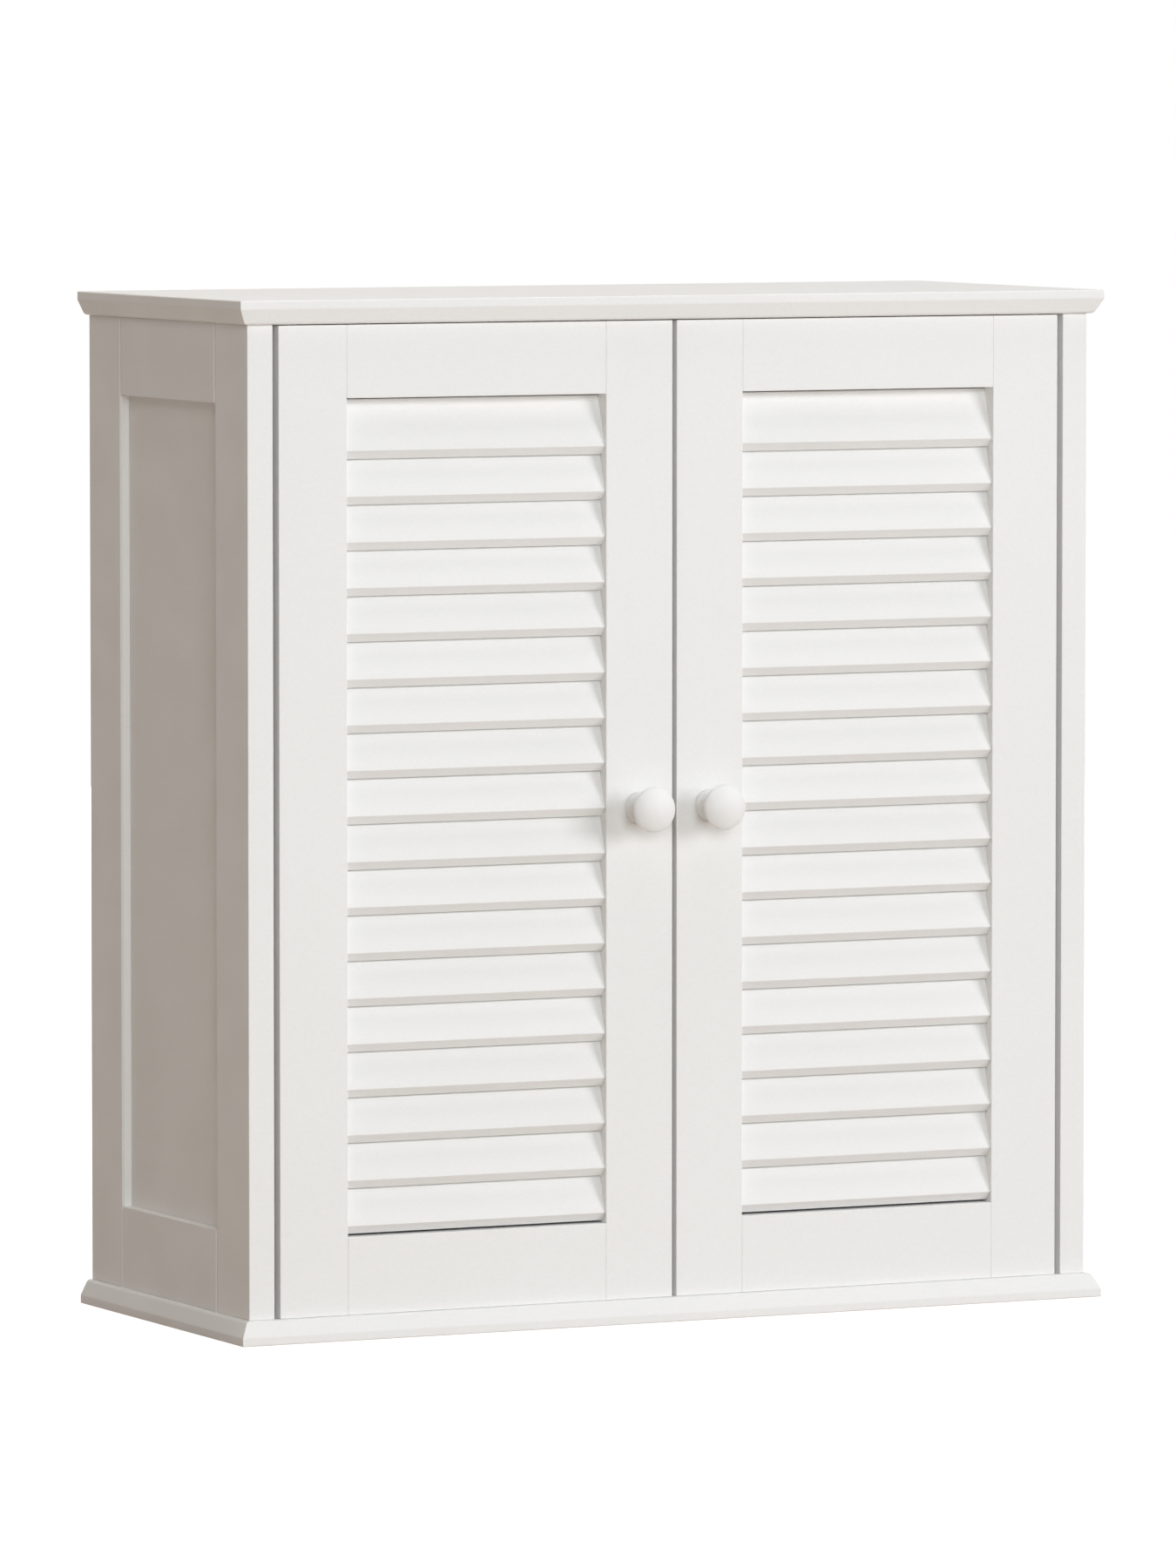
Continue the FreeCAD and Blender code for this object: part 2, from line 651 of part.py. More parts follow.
def slats():
    length = opening_outer - opening_inner + 2 * (SLAT_HOUSING - SLAT_CLEARANCE)
    section = slat_section()
    blank = section.extrude(ALONG_X * length)
    long_edges = [edge for edge in blank.Edges if edge.Length > length - SLAT_CLEARANCE]
    shortest_side = min(edge.Length for edge in section.Edges)
    blank = blank.makeFillet(min(SLAT_EASE, shortest_side / 3), long_edges)
    blank.translate(ALONG_X * (opening_inner - SLAT_HOUSING + SLAT_CLEARANCE))
    return [blank.translated(ALONG_Z * height) for height in slat_heights()]


def slat_pockets():
    """Housings for the slats' ends, cut across both stiles' inner edges."""
    section = slat_section().makeOffset2D(SLAT_CLEARANCE, 2)
    pocket = section.extrude(ALONG_X * (opening_outer - opening_inner + 2 * SLAT_HOUSING))
    pocket.translate(ALONG_X * (opening_inner - SLAT_HOUSING))
    return [pocket.translated(ALONG_Z * height) for height in slat_heights()]


def door_dowel_starts():
    """Start of each dowel across the four rail joints, pointing along X."""
    heights = [door_low + DOOR_DOWEL_FROM_EDGE, opening_low - DOOR_DOWEL_FROM_EDGE,
               opening_high + DOOR_DOWEL_FROM_EDGE, door_high - DOOR_DOWEL_FROM_EDGE]
    edges = (opening_inner - DOOR_DOWEL_HALF, opening_outer - DOOR_DOWEL_HALF)
    return [Vector(x, door_middle, height) for x in edges for height in heights]


def door_dowels():
    length = 2 * DOOR_DOWEL_HALF
    return [dowel(DOOR_DOWEL_DIAMETER, start, ALONG_X, length) for start in door_dowel_starts()]


def door_dowel_holes():
    length = 2 * DOOR_DOWEL_HALF
    return [dowel_hole(DOOR_DOWEL_DIAMETER, start, ALONG_X, length) for start in door_dowel_starts()]


def pivot_ends():
    """Door end, way out of the door and gap to the board, for both pins of the right door."""
    return [(door_low, -ALONG_Z, DOOR_BOTTOM_GAP), (door_high, ALONG_Z, DOOR_TOP_GAP)]


def pivot_pins():
    pins = []
    for height, outward, gap in pivot_ends():
        start = Vector(pivot_x, door_middle, height) - outward * PIVOT_IN_DOOR
        pins.append(dowel(PIVOT_DIAMETER, start, outward, PIVOT_IN_DOOR + gap + BUSH_DEPTH - PIVOT_END_GAP))
    return pins


def pivot_holes():
    holes = []
    for height, outward, gap in pivot_ends():
        end = Vector(pivot_x, door_middle, height)
        holes.append(dowel_hole(PIVOT_DIAMETER, end - outward * PIVOT_IN_DOOR, outward, PIVOT_IN_DOOR))
    return holes


def door_member(x0, x1, low, high):
    """Stile or rail with eased edges, apart from those along the door's foot, which stay square."""
    member = box(x0, x1, front, door_back, low, high)
    eased = [edge for edge in member.Edges if edge.BoundBox.ZMax > door_low + EDGE_EASE]
    return member.makeFillet(EDGE_EASE, eased)


def hinge_stile():
    stile = door_member(opening_outer, door_outer, door_low, door_high)
    return stile.cut(slat_pockets() + door_dowel_holes() + pivot_holes())


def knob_stile():
    stile = door_member(door_inner, opening_inner, door_low, door_high)
    screw_hole = rod(KNOB_SCREW_DIAMETER + 2 * PUSH_FIT, Vector(knob_x, front - CUT_MARGIN, knob_z),
                     ALONG_Y, DOOR_THICKNESS + 2 * CUT_MARGIN)
    return stile.cut(slat_pockets() + door_dowel_holes() + [screw_hole, strike_screw_hole()])


def door_rail(low, high):
    rail = door_member(opening_inner, opening_outer, low, high)
    return rail.cut(door_dowel_holes())


def knob_dome_radius(rise):
    """Radius of a dome that runs smoothly into the rim and stands that far off the rim's plane."""
    rim_x = KNOB_DIAMETER / 2 - KNOB_RIM_RADIUS
    return (rim_x ** 2 + rise ** 2 - KNOB_RIM_RADIUS ** 2) / (2 * (rise - KNOB_RIM_RADIUS))


def knob():
    """Knob turned about the screw's line: a flat foot, a coved neck and a head domed on both sides."""
    foot_radius = KNOB_FOOT_DIAMETER / 2
    neck_radius = KNOB_NECK_DIAMETER / 2
    join_radius = (foot_radius + neck_radius) / 2
    dome_radius = knob_dome_radius(KNOB_DOME_RISE)
    back_radius = knob_dome_radius(KNOB_BACK_DROP)
    middle = ALONG_Z * KNOB_RIM_HEIGHT
    crown = middle + ALONG_Z * KNOB_DOME_RISE
    dome_centre = crown - ALONG_Z * dome_radius
    back_centre = middle + ALONG_Z * (back_radius - KNOB_BACK_DROP)
    join_height = back_centre.z - math.sqrt(back_radius ** 2 - join_radius ** 2)
    axis_foot = Vector(0, 0, 0)
    foot = Vector(foot_radius, 0, 0)
    foot_top = foot + ALONG_Z * KNOB_FOOT_HEIGHT
    neck = Vector(neck_radius, 0, (KNOB_FOOT_HEIGHT + join_height) / 2)
    join = Vector(join_radius, 0, join_height)
    rim_centre = middle + ALONG_X * (KNOB_DIAMETER / 2 - KNOB_RIM_RADIUS)
    to_join = (join - back_centre).normalize()
    to_back = (rim_centre - back_centre).normalize()
    to_dome = (rim_centre - dome_centre).normalize()
    belly = back_centre + (to_join + to_back).normalize() * back_radius
    rim_back = rim_centre + to_back * KNOB_RIM_RADIUS
    rim_out = rim_centre + ALONG_X * KNOB_RIM_RADIUS
    rim_top = rim_centre + to_dome * KNOB_RIM_RADIUS
    shoulder = dome_centre + (to_dome + ALONG_Z).normalize() * dome_radius
    outline = [Part.makeLine(axis_foot, foot), Part.makeLine(foot, foot_top),
               Part.Arc(foot_top, neck, join).toShape(), Part.Arc(join, belly, rim_back).toShape(),
               Part.Arc(rim_back, rim_out, rim_top).toShape(), Part.Arc(rim_top, shoulder, crown).toShape(),
               Part.makeLine(crown, axis_foot)]
    body = Part.Face(Part.Wire(outline)).revolve(axis_foot, ALONG_Z, 360)
    screw_hole = rod(KNOB_SCREW_DIAMETER + 2 * PUSH_FIT, Vector(0, 0, -CUT_MARGIN), ALONG_Z,
                     CUT_MARGIN + KNOB_SCREW_GRIP + HOLE_END_GAP)
    return turned(body.cut(screw_hole), Vector(knob_x, front, knob_z), -ALONG_Y)


def knob_screw():
    """Pan head screw from the back of the stile into the knob."""
    shank = rod(KNOB_SCREW_DIAMETER, Vector(0, 0, -DOOR_THICKNESS - KNOB_SCREW_GRIP), ALONG_Z,
                DOOR_THICKNESS + KNOB_SCREW_GRIP)
    head = rod(KNOB_SCREW_HEAD_DIAMETER, Vector(0, 0, 0), ALONG_Z, KNOB_SCREW_HEAD_HEIGHT)
    crown = [edge for edge in head.Edges if edge.BoundBox.ZMin > KNOB_SCREW_HEAD_HEIGHT / 2]
    head = head.makeFillet(KNOB_SCREW_HEAD_HEIGHT / 2, crown)
    screw = shank.fuse(head).cut(cross_recess(KNOB_SCREW_HEAD_HEIGHT))
    return turned(screw, Vector(knob_x, door_back, knob_z), ALONG_Y)


def strike_screw_hole():
    head = Vector(knob_x, door_back + STRIKE_THICKNESS, magnet_z)
    return turned(countersunk_hole(STRIKE_SCREW_LENGTH), head, ALONG_Y)


def strike_screw():
    head = Vector(knob_x, door_back + STRIKE_THICKNESS, magnet_z)
    return turned(countersunk_screw(STRIKE_SCREW_LENGTH), head, ALONG_Y)


def strike_plate():
    half = STRIKE_WIDTH / 2
    tall = STRIKE_HEIGHT / 2
    plate = box(knob_x - half, knob_x + half, door_back, door_back + STRIKE_THICKNESS,
                magnet_z - tall, magnet_z + tall)
    return plate.cut(strike_screw_hole())


# Named nodes

def save(name, solids):
    pieces = [solid for shape in solids for solid in shape.Solids]
    shape = pieces[0] if len(pieces) == 1 else Part.makeCompound(pieces)
    if not shape.isValid():
        raise ValueError(name + " isn't a valid solid")
    shape.exportStep("parts/" + name + ".step")
    print(name, len(pieces), round(shape.Volume, 1))


def save_pair(name, solids):
    """A right-hand piece under right_ and its mirror image under left_."""
    save("right_" + name, solids)
    save("left_" + name, [mirrored(shape) for shape in solids])


os.makedirs("parts", exist_ok=True)
print("slats in each door", slat_count, "pitch", round(slat_pitch, 3))

save("top_board", [top_board()])
save("bottom_board", [bottom_board()])
save_pair("side_front_stile", [side_front_stile()])
save_pair("side_rear_stile", [side_rear_stile()])
save_pair("side_top_rail", [side_top_rail()])
save_pair("side_bottom_rail", [side_bottom_rail()])
save_pair("side_panel", [side_panel()])
save("back_panel", [back_panel()])
save("hanging_rail", [hanging_rail()])
save("shelf", [shelf()])
save("shelf_pins", both_sides(shelf_pins()))
save("side_dowels", both_sides(side_dowels()))
save("rail_dowels", both_sides(rail_dowels()))
save("cam_bolts", both_sides(cam_bolts()))
save("cam_discs", both_sides(cam_discs()))
save("back_screws", both_sides(back_screws()))
save("pivot_bushes", both_sides(pivot_bushes()))
save("catch_housings", both_sides([catch_housing()]))
save("catch_magnets", both_sides([magnet_block(0)]))
save("catch_screws", both_sides(catch_screws()))

save_pair("hinge_stile", [hinge_stile()])
save_pair("knob_stile", [knob_stile()])
save_pair("door_top_rail", [door_rail(opening_high, door_high)])
save_pair("door_bottom_rail", [door_rail(door_low, opening_low)])
save_pair("door_slats", slats())
save_pair("door_dowels", door_dowels())
save_pair("pivot_pins", pivot_pins())
save_pair("knob", [knob()])
save_pair("knob_screw", [knob_screw()])
save_pair("strike_plate", [strike_plate()])
save_pair("strike_screw", [strike_screw()])
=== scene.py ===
import json
import math

import bmesh
import bpy
from bpy.props import FloatProperty, FloatVectorProperty, IntProperty, PointerProperty
from mathutils import Matrix, Vector


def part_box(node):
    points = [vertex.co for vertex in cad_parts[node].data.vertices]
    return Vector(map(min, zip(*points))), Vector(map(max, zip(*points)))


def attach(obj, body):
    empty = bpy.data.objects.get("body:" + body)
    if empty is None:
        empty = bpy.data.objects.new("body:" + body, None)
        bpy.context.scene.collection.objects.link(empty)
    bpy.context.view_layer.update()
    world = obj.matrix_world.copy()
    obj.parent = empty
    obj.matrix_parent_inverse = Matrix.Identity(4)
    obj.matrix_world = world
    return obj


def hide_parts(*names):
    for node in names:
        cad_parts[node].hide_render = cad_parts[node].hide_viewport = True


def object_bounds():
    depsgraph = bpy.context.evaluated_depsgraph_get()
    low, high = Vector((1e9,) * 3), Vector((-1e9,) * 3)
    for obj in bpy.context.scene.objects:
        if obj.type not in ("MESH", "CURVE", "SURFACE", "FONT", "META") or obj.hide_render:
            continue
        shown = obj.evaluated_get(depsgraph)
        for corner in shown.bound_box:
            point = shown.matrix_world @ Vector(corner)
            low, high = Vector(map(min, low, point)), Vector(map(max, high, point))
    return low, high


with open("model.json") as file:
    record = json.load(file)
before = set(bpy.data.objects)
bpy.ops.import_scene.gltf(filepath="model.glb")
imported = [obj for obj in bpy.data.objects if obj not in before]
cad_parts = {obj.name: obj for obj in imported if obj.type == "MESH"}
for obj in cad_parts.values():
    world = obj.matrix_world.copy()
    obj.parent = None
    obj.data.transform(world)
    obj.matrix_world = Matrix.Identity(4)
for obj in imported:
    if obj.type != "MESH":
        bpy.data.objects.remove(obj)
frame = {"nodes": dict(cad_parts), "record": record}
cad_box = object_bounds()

bl_info = {
    "name": "Louvred door cabinet",
    "version": (1, 0, 0),
    "blender": (4, 5, 0),
    "location": "View3D > Sidebar > Louvred cabinet",
    "description": "Paints and dresses a small white cabinet with two louvred doors",
    "category": "Add Mesh",
}

DOORS = ("left_door", "right_door")
SIDE_OF = {"left_door": "left_", "right_door": "right_"}
UP = Vector((0, 0, 1))
TO_FRONT = Vector((0, -1, 0))
TO_BACK = Vector((0, 1, 0))

# Steps round turned pieces and along the curves of their profiles
KNOB_STEPS = 96
COVE_STEPS = 16
BACK_STEPS = 14
RIM_STEPS = 20
DOME_STEPS = 24
SCREW_STEPS = 32
SHOULDER_STEPS = 6
CREASE_ANGLE = math.radians(40)


def slot_colour(slot):
    """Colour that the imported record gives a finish."""
    for finish in frame["record"]["materials"]:
        if finish["slot"] == slot:
            return tuple(finish["base_color"])
    raise KeyError("the record has no finish named " + slot)


def nodes_in_slot(slot):
    """CAD objects whose finish is that slot."""
    pieces = frame["record"]["subparts"]
    return [frame["nodes"][piece["node"]] for piece in pieces if piece["material_slot"] == slot]


def middle_of(node):
    low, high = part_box(node)
    return (low + high) / 2


def width_of(node):
    low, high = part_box(node)
    return high.x - low.x


# Sizes and colours that a user would change

def colour_property(name, description, default):
    return FloatVectorProperty(name=name, description=description, default=default, subtype="COLOR",
                               size=3, min=0.0, max=1.0)


def length_property(name, description, default):
    return FloatProperty(name=name, description=description, default=default, unit="LENGTH", precision=5)


def share_property(name, description, default):
    return FloatProperty(name=name, description=description, default=default, subtype="FACTOR",
                         min=0.0, max=1.0)


def angle_property(name, description, degrees):
    return FloatProperty(name=name, description=description, default=math.radians(degrees),
                         subtype="ANGLE", unit="ROTATION")


def power_property(name, description, default):
    return FloatProperty(name=name, description=description, default=default, subtype="POWER", unit="POWER")


def place_property(name, description, default):
    return FloatVectorProperty(name=name, description=description, default=default, subtype="TRANSLATION",
                               unit="LENGTH")


class PaintSettings(bpy.types.PropertyGroup):
    """Sprayed satin paint on the boards, frames, slats and knobs."""
    colour: colour_property("Paint colour", "Colour of the satin paint", slot_colour("white_paint"))
    knob_colour: colour_property("Knob colour", "Colour of the knobs' paint", slot_colour("knob_paint"))
    roughness: share_property("Roughness", "Middle roughness of the satin film", 0.44)
    knob_roughness: share_property("Knob roughness", "Middle roughness of the knobs' film", 0.38)
    peel_size: length_property("Orange peel size", "Width of one ripple in the film", 0.0016)
    peel_height: length_property("Orange peel height", "Depth of the ripples", 0.00002)


class FittingSettings(bpy.types.PropertyGroup):
    """Colours of the fittings inside the cabinet."""
    back_board: colour_property("Back board", "White faced hardboard", slot_colour("back_board"))
    beech: colour_property("Beech", "Bare beech of the dowels", slot_colour("beech_dowel"))
    zinc: colour_property("Zinc plate", "Plating of the screws and bolts", slot_colour("zinc_steel"))
    nickel: colour_property("Nickel plate", "Plating of pins and strikes", slot_colour("nickel_steel"))
    cast_zinc: colour_property("Cast zinc", "Die-cast cam discs", slot_colour("cast_zinc"))
    nylon: colour_property("Nylon", "Bushes and catch housings", slot_colour("white_nylon"))
    ferrite: colour_property("Ferrite", "Pressed magnets", slot_colour("magnet"))


class SlatSettings(bpy.types.PropertyGroup):
    """Fixed slats that lean back between the stiles of each door."""
    count: IntProperty(name="Slats", description="Slats in each door", default=18, min=2)
    tilt: angle_property("Tilt", "Lean of the slats from upright", 19.5)
    thickness: length_property("Thickness", "Thickness of a slat", 0.0067)
    rise: length_property("Rise", "Height of the face above the lip", 0.0294)
    lip_drop: length_property("Lip drop", "Height of the bevel under the lip", 0.0054)
    edge_radius: length_property("Edge radius", "Rounding of the long edges", 0.0006)
    tone_spread: share_property("Tone spread", "How far the slats' tones differ", 0.06)
    tone_seed: IntProperty(name="Tone seed", description="Order of the slats' slight tones", default=7)


class KnobSettings(bpy.types.PropertyGroup):
    """Turned knobs."""
    foot_diameter: length_property("Foot diameter", "Width of the foot on the stile", 0.0188)
    foot_height: length_property("Foot height", "Height of the straight foot", 0.0022)
    foot_ease: length_property("Foot ease", "Easing of the foot's edge", 0.0003)
    neck_diameter: length_property("Neck diameter", "Width of the narrowest place", 0.014)
    rim_height: length_property("Rim height", "Height of the widest place", 0.0197)
    rim_radius: length_property("Rim radius", "Rounding at the widest place", 0.0026)
    back_drop: length_property("Back drop", "Depth of the head's rounded back", 0.0075)


class ScrewSettings(bpy.types.PropertyGroup):
    """Small countersunk screws and the knobs' pan head screws."""
    shank: length_property("Shank diameter", "Diameter of a small screw's shank", 0.003)
    head_height: length_property("Head height", "Height of a countersunk head", 0.0018)
    rim_height: length_property("Rim height", "Height of a countersunk head's rim", 0.0002)
    rim_ease: length_property("Rim ease", "Easing of a countersunk head's rim", 0.00015)
    knob_shank: length_property("Knob screw shank", "Diameter of a knob screw's shank", 0.004)
    knob_head_height: length_property("Pan head height", "Height of a knob screw's head", 0.0024)
    knob_head_round: length_property("Pan head rounding", "Rounding of a knob screw's head", 0.0012)
    recess_length: length_property("Recess length", "Width of the cross in a head", 0.0036)
    recess_width: length_property("Recess width", "Width of one arm of the cross", 0.0009)
    recess_depth: length_property("Recess depth", "Depth of the cross", 0.001)
    back_rows: IntProperty(name="Back rows", description="Screws up each side of the back", default=5)
    twist_seed: IntProperty(name="Twist seed", description="How far each screw was driven", default=3)


class StageSettings(bpy.types.PropertyGroup):
    """Floor, light and camera."""
    floor_colour: colour_property("Floor colour", "Pale floor", (0.45, 0.365, 0.3))
    floor_reach: length_property("Floor reach", "From the middle to the floor's edges", 40.0)
    sky_colour: colour_property("Room light colour", "Soft light from all round", (1.0, 0.86, 0.74))
    sky_strength: FloatProperty(name="Room light", description="Strength of the soft light", default=0.02)
    key_power: power_property("Key lamp", "Lamp in front, a little to the left", 134.5)
    right_power: power_property("Right lamp", "Lamp in front on the right", 140.5)
    top_power: power_property("Top lamp", "Lamp overhead", 52.0)
    left_power: power_property("Left lamp", "Warm lamp high on the left", 7.4)
    low_power: power_property("Low lamp", "Weak warm lamp low on the left", 4.6)
    back_power: power_property("Back lamp", "Lamp behind", 90.0)
    camera_place: place_property("Camera place", "Where the camera stands", (-2.7941, -5.7468, 0.7688))
    camera_turn: angle_property("Camera turn", "Turn of the view from +Y towards +X", 25.907)
    camera_dip: angle_property("Camera dip", "How far the view looks down", 4.128)
    camera_lens: FloatProperty(name="Lens", description="Focal length in millimetres", default=248.15)


# Node trees

def put(tree, kind, inputs=(), **settings):
    """Adds a node with its settings, and sets or links its inputs."""
    node = tree.nodes.new(kind)
    for name, value in settings.items():
        setattr(node, name, value)
    for name, value in dict(inputs).items():
        if isinstance(value, bpy.types.NodeSocket):
            tree.links.new(value, node.inputs[name])
        else:
            node.inputs[name].default_value = value
    return node


def start_finish(name):
    """A new material: its tree, its shader and the object's own coordinates."""
    material = bpy.data.materials.new(name)
    material.use_nodes = True
    tree = material.node_tree
    tree.nodes.clear()
    shader = put(tree, "ShaderNodeBsdfPrincipled")
    put(tree, "ShaderNodeOutputMaterial", {"Surface": shader.outputs["BSDF"]})
    place = put(tree, "ShaderNodeTexCoord").outputs["Object"]
    return material, tree, shader, place


def noise(tree, place, width, detail=2.0, roughness=0.5):
    """Noise whose patches are about that wide, from 0 to 1."""
    node = put(tree, "ShaderNodeTexNoise", {"Vector": place, "Scale": 1.0 / width, "Detail": detail,
                                            "Roughness": roughness})
    return node.outputs["Fac"]


def stretched(tree, place, scale):
    return put(tree, "ShaderNodeMapping", {"Vector": place, "Scale": scale}).outputs["Vector"]


def spread(tree, value, low, high, start=0.3, end=0.7):
    """The value taken from start..end to low..high."""
    inputs = {"Value": value, "From Min": start, "From Max": end, "To Min": low, "To Max": high}
    return put(tree, "ShaderNodeMapRange", inputs).outputs["Result"]


def math_of(tree, operation, first, second):
    return put(tree, "ShaderNodeMath", {0: first, 1: second}, operation=operation).outputs["Value"]


def blend(tree, first, second, share):
    """That share of the first pattern and the rest of the second."""
    rest = math_of(tree, "MULTIPLY", second, 1.0 - share)
    return math_of(tree, "ADD", math_of(tree, "MULTIPLY", first, share), rest)


def bands(tree, place, direction, scale, distortion):
    """Wavy bands along one axis, from 0 to 1."""
    inputs = {"Vector": place, "Scale": scale, "Distortion": distortion, "Detail": 2.0}
    return put(tree, "ShaderNodeTexWave", inputs, wave_type="BANDS", bands_direction=direction).outputs["Fac"]


def tint(tree, value, colour, darkest, lightest, warmth=0.0):
    """Colours between two tones of one colour, the darker one a little warmer."""
    ramp = put(tree, "ShaderNodeValToRGB", {"Fac": value})
    dark = [part * darkest for part in colour]
    dark[2] *= 1.0 - warmth
    ramp.color_ramp.elements[0].position = 0.3
    ramp.color_ramp.elements[0].color = (*dark, 1.0)
    ramp.color_ramp.elements[1].position = 0.7
    ramp.color_ramp.elements[1].color = (*[min(part * lightest, 1.0) for part in colour], 1.0)
    return ramp.outputs["Color"]


def ripple(tree, shader, height, depth):
    bump = put(tree, "ShaderNodeBump", {"Height": height, "Distance": depth, "Strength": 1.0})
    tree.links.new(bump.outputs["Normal"], shader.inputs["Normal"])


# Finishes

def satin_paint(name, colour, roughness, tone_attribute=None):
    """Sprayed satin paint: fine orange peel, a soft change of tone and uneven gloss."""
    settings = bpy.context.scene.cabinet_paint
    material, tree, shader, place = start_finish(name)
    clouds = noise(tree, place, 0.22, 3.0)
    grain = noise(tree, place, 0.0012, 2.0)
    tone = blend(tree, clouds, grain, 0.4)
    if tone_attribute:
        own = put(tree, "ShaderNodeAttribute", attribute_name=tone_attribute).outputs["Fac"]
        tone = math_of(tree, "ADD", tone, own)
    tree.links.new(tint(tree, tone, colour, 0.965, 1.02, 0.01), shader.inputs["Base Color"])
    haze = noise(tree, place, 0.03, 3.0)
    gloss = spread(tree, haze, roughness - 0.05, roughness + 0.05)
    tree.links.new(gloss, shader.inputs["Roughness"])
    peel = noise(tree, place, settings.peel_size, 1.5, 0.4)
    drift = noise(tree, place, settings.peel_size * 9, 1.0)
    film = math_of(tree, "ADD", peel, math_of(tree, "MULTIPLY", drift, 0.8))
    ripple(tree, shader, film, settings.peel_height)
    shader.inputs["Specular IOR Level"].default_value = 0.45
    return material


def turned_paint(name, colour, roughness, axis_place):
    """Paint on a turned knob: faint rings from the lathe under the film."""
    material, tree, shader, place = start_finish(name)
    settings = bpy.context.scene.cabinet_paint
    centred = put(tree, "ShaderNodeMapping", {"Vector": place, "Location": -axis_place}).outputs["Vector"]
    rings = bands(tree, centred, "Y", 380.0, 1.2)
    peel = noise(tree, place, settings.peel_size * 0.8, 1.5)
    film = math_of(tree, "ADD", peel, math_of(tree, "MULTIPLY", rings, 0.25))
    tone = blend(tree, noise(tree, place, 0.012), noise(tree, place, 0.0007), 0.7)
    tree.links.new(tint(tree, tone, colour, 0.985, 1.01, 0.006), shader.inputs["Base Color"])
    tree.links.new(spread(tree, noise(tree, place, 0.006), roughness - 0.05, roughness + 0.06),
                   shader.inputs["Roughness"])
    ripple(tree, shader, film, settings.peel_height * 0.8)
    shader.inputs["Specular IOR Level"].default_value = 0.25
    return material


def hardboard_facing(name, colour):
    """White faced hardboard: a pressed screen pattern and scattered fibres under the facing."""
    material, tree, shader, place = start_finish(name)
    across = bands(tree, place, "X", 300.0, 0.6)
    upward = bands(tree, place, "Z", 300.0, 0.6)
    screen = math_of(tree, "MULTIPLY", across, upward)
    fibres = noise(tree, stretched(tree, place, (1.0, 1.0, 0.25)), 0.0016, 4.0, 0.6)
    tone = blend(tree, noise(tree, place, 0.15, 3.0), fibres, 0.55)
    tree.links.new(tint(tree, tone, colour, 0.955, 1.02, 0.02), shader.inputs["Base Color"])
    tree.links.new(spread(tree, fibres, 0.5, 0.66), shader.inputs["Roughness"])
    ripple(tree, shader, math_of(tree, "ADD", screen, fibres), 0.00003)
    return material


def bare_beech(name, colour):
    """Beech dowel: long grain with short dark flecks."""
    material, tree, shader, place = start_finish(name)
    grain = noise(tree, stretched(tree, place, (1.0, 0.15, 0.15)), 0.0012, 4.0, 0.6)
    flecks = noise(tree, stretched(tree, place, (1.0, 0.3, 1.0)), 0.0006, 1.0)
    tone = blend(tree, grain, flecks, 0.65)
    tree.links.new(tint(tree, tone, colour, 0.72, 1.1, 0.15), shader.inputs["Base Color"])
    tree.links.new(spread(tree, grain, 0.55, 0.75), shader.inputs["Roughness"])
    ripple(tree, shader, grain, 0.00006)
    return material


def plated_steel(name, colour, roughness, scratch_width):
    """Plated metal: drawn scratches and a cloudy film."""
    material, tree, shader, place = start_finish(name)
    scratches = noise(tree, stretched(tree, place, (1.0, 1.0, 0.08)), scratch_width, 3.0, 0.7)
    clouds = noise(tree, place, 0.004, 3.0)
    tree.links.new(tint(tree, clouds, colour, 0.88, 1.06, 0.03), shader.inputs["Base Color"])
    tree.links.new(spread(tree, scratches, roughness - 0.08, roughness + 0.1), shader.inputs["Roughness"])
    ripple(tree, shader, scratches, 0.000006)
    shader.inputs["Metallic"].default_value = 1.0
    return material


def moulded_nylon(name, colour):
    """Nylon moulding: spark-eroded texture and a little depth."""
    material, tree, shader, place = start_finish(name)
    texture = noise(tree, place, 0.0004, 2.0)
    clouds = noise(tree, place, 0.006, 2.0)
    tree.links.new(tint(tree, clouds, colour, 0.97, 1.02, 0.01), shader.inputs["Base Color"])
    tree.links.new(spread(tree, texture, 0.38, 0.52), shader.inputs["Roughness"])
    ripple(tree, shader, texture, 0.00001)
    shader.inputs["Subsurface Weight"].default_value = 0.15
    shader.inputs["Subsurface Radius"].default_value = (0.002, 0.002, 0.002)
    return material


def pressed_ferrite(name, colour):
    """Dark ferrite with grains and small chips."""
    material, tree, shader, place = start_finish(name)
    grains = noise(tree, place, 0.0005, 3.0, 0.6)
    chips = put(tree, "ShaderNodeTexVoronoi", {"Vector": place, "Scale": 900.0}).outputs["Distance"]
    tree.links.new(tint(tree, grains, colour, 0.75, 1.5), shader.inputs["Base Color"])
    tree.links.new(spread(tree, grains, 0.45, 0.7), shader.inputs["Roughness"])
    ripple(tree, shader, math_of(tree, "ADD", grains, chips), 0.00003)
    return material


def give_finish(objects, material):
    """Puts a finish on CAD objects and leaves their meshes alone."""
    for piece in objects:
        if not piece.material_slots:
            piece.data.materials.append(material)
        for place in piece.material_slots:
            place.material = material


# Meshes

def facing(direction, place):
    """Moves a shape made along Z to a place, with its Z axis along the direction."""
    turn = direction.to_track_quat("Z", "Y").to_matrix().to_4x4()
    return Matrix.Translation(place) @ turn


def arc(centre, radius, start, end, steps):
    """Points (radius, height) round a centre, from one angle to another."""
    angles = [start + (end - start) * step / steps for step in range(steps + 1)]
    return [(centre[0] + radius * math.cos(angle), centre[1] + radius * math.sin(angle)) for angle in angles]


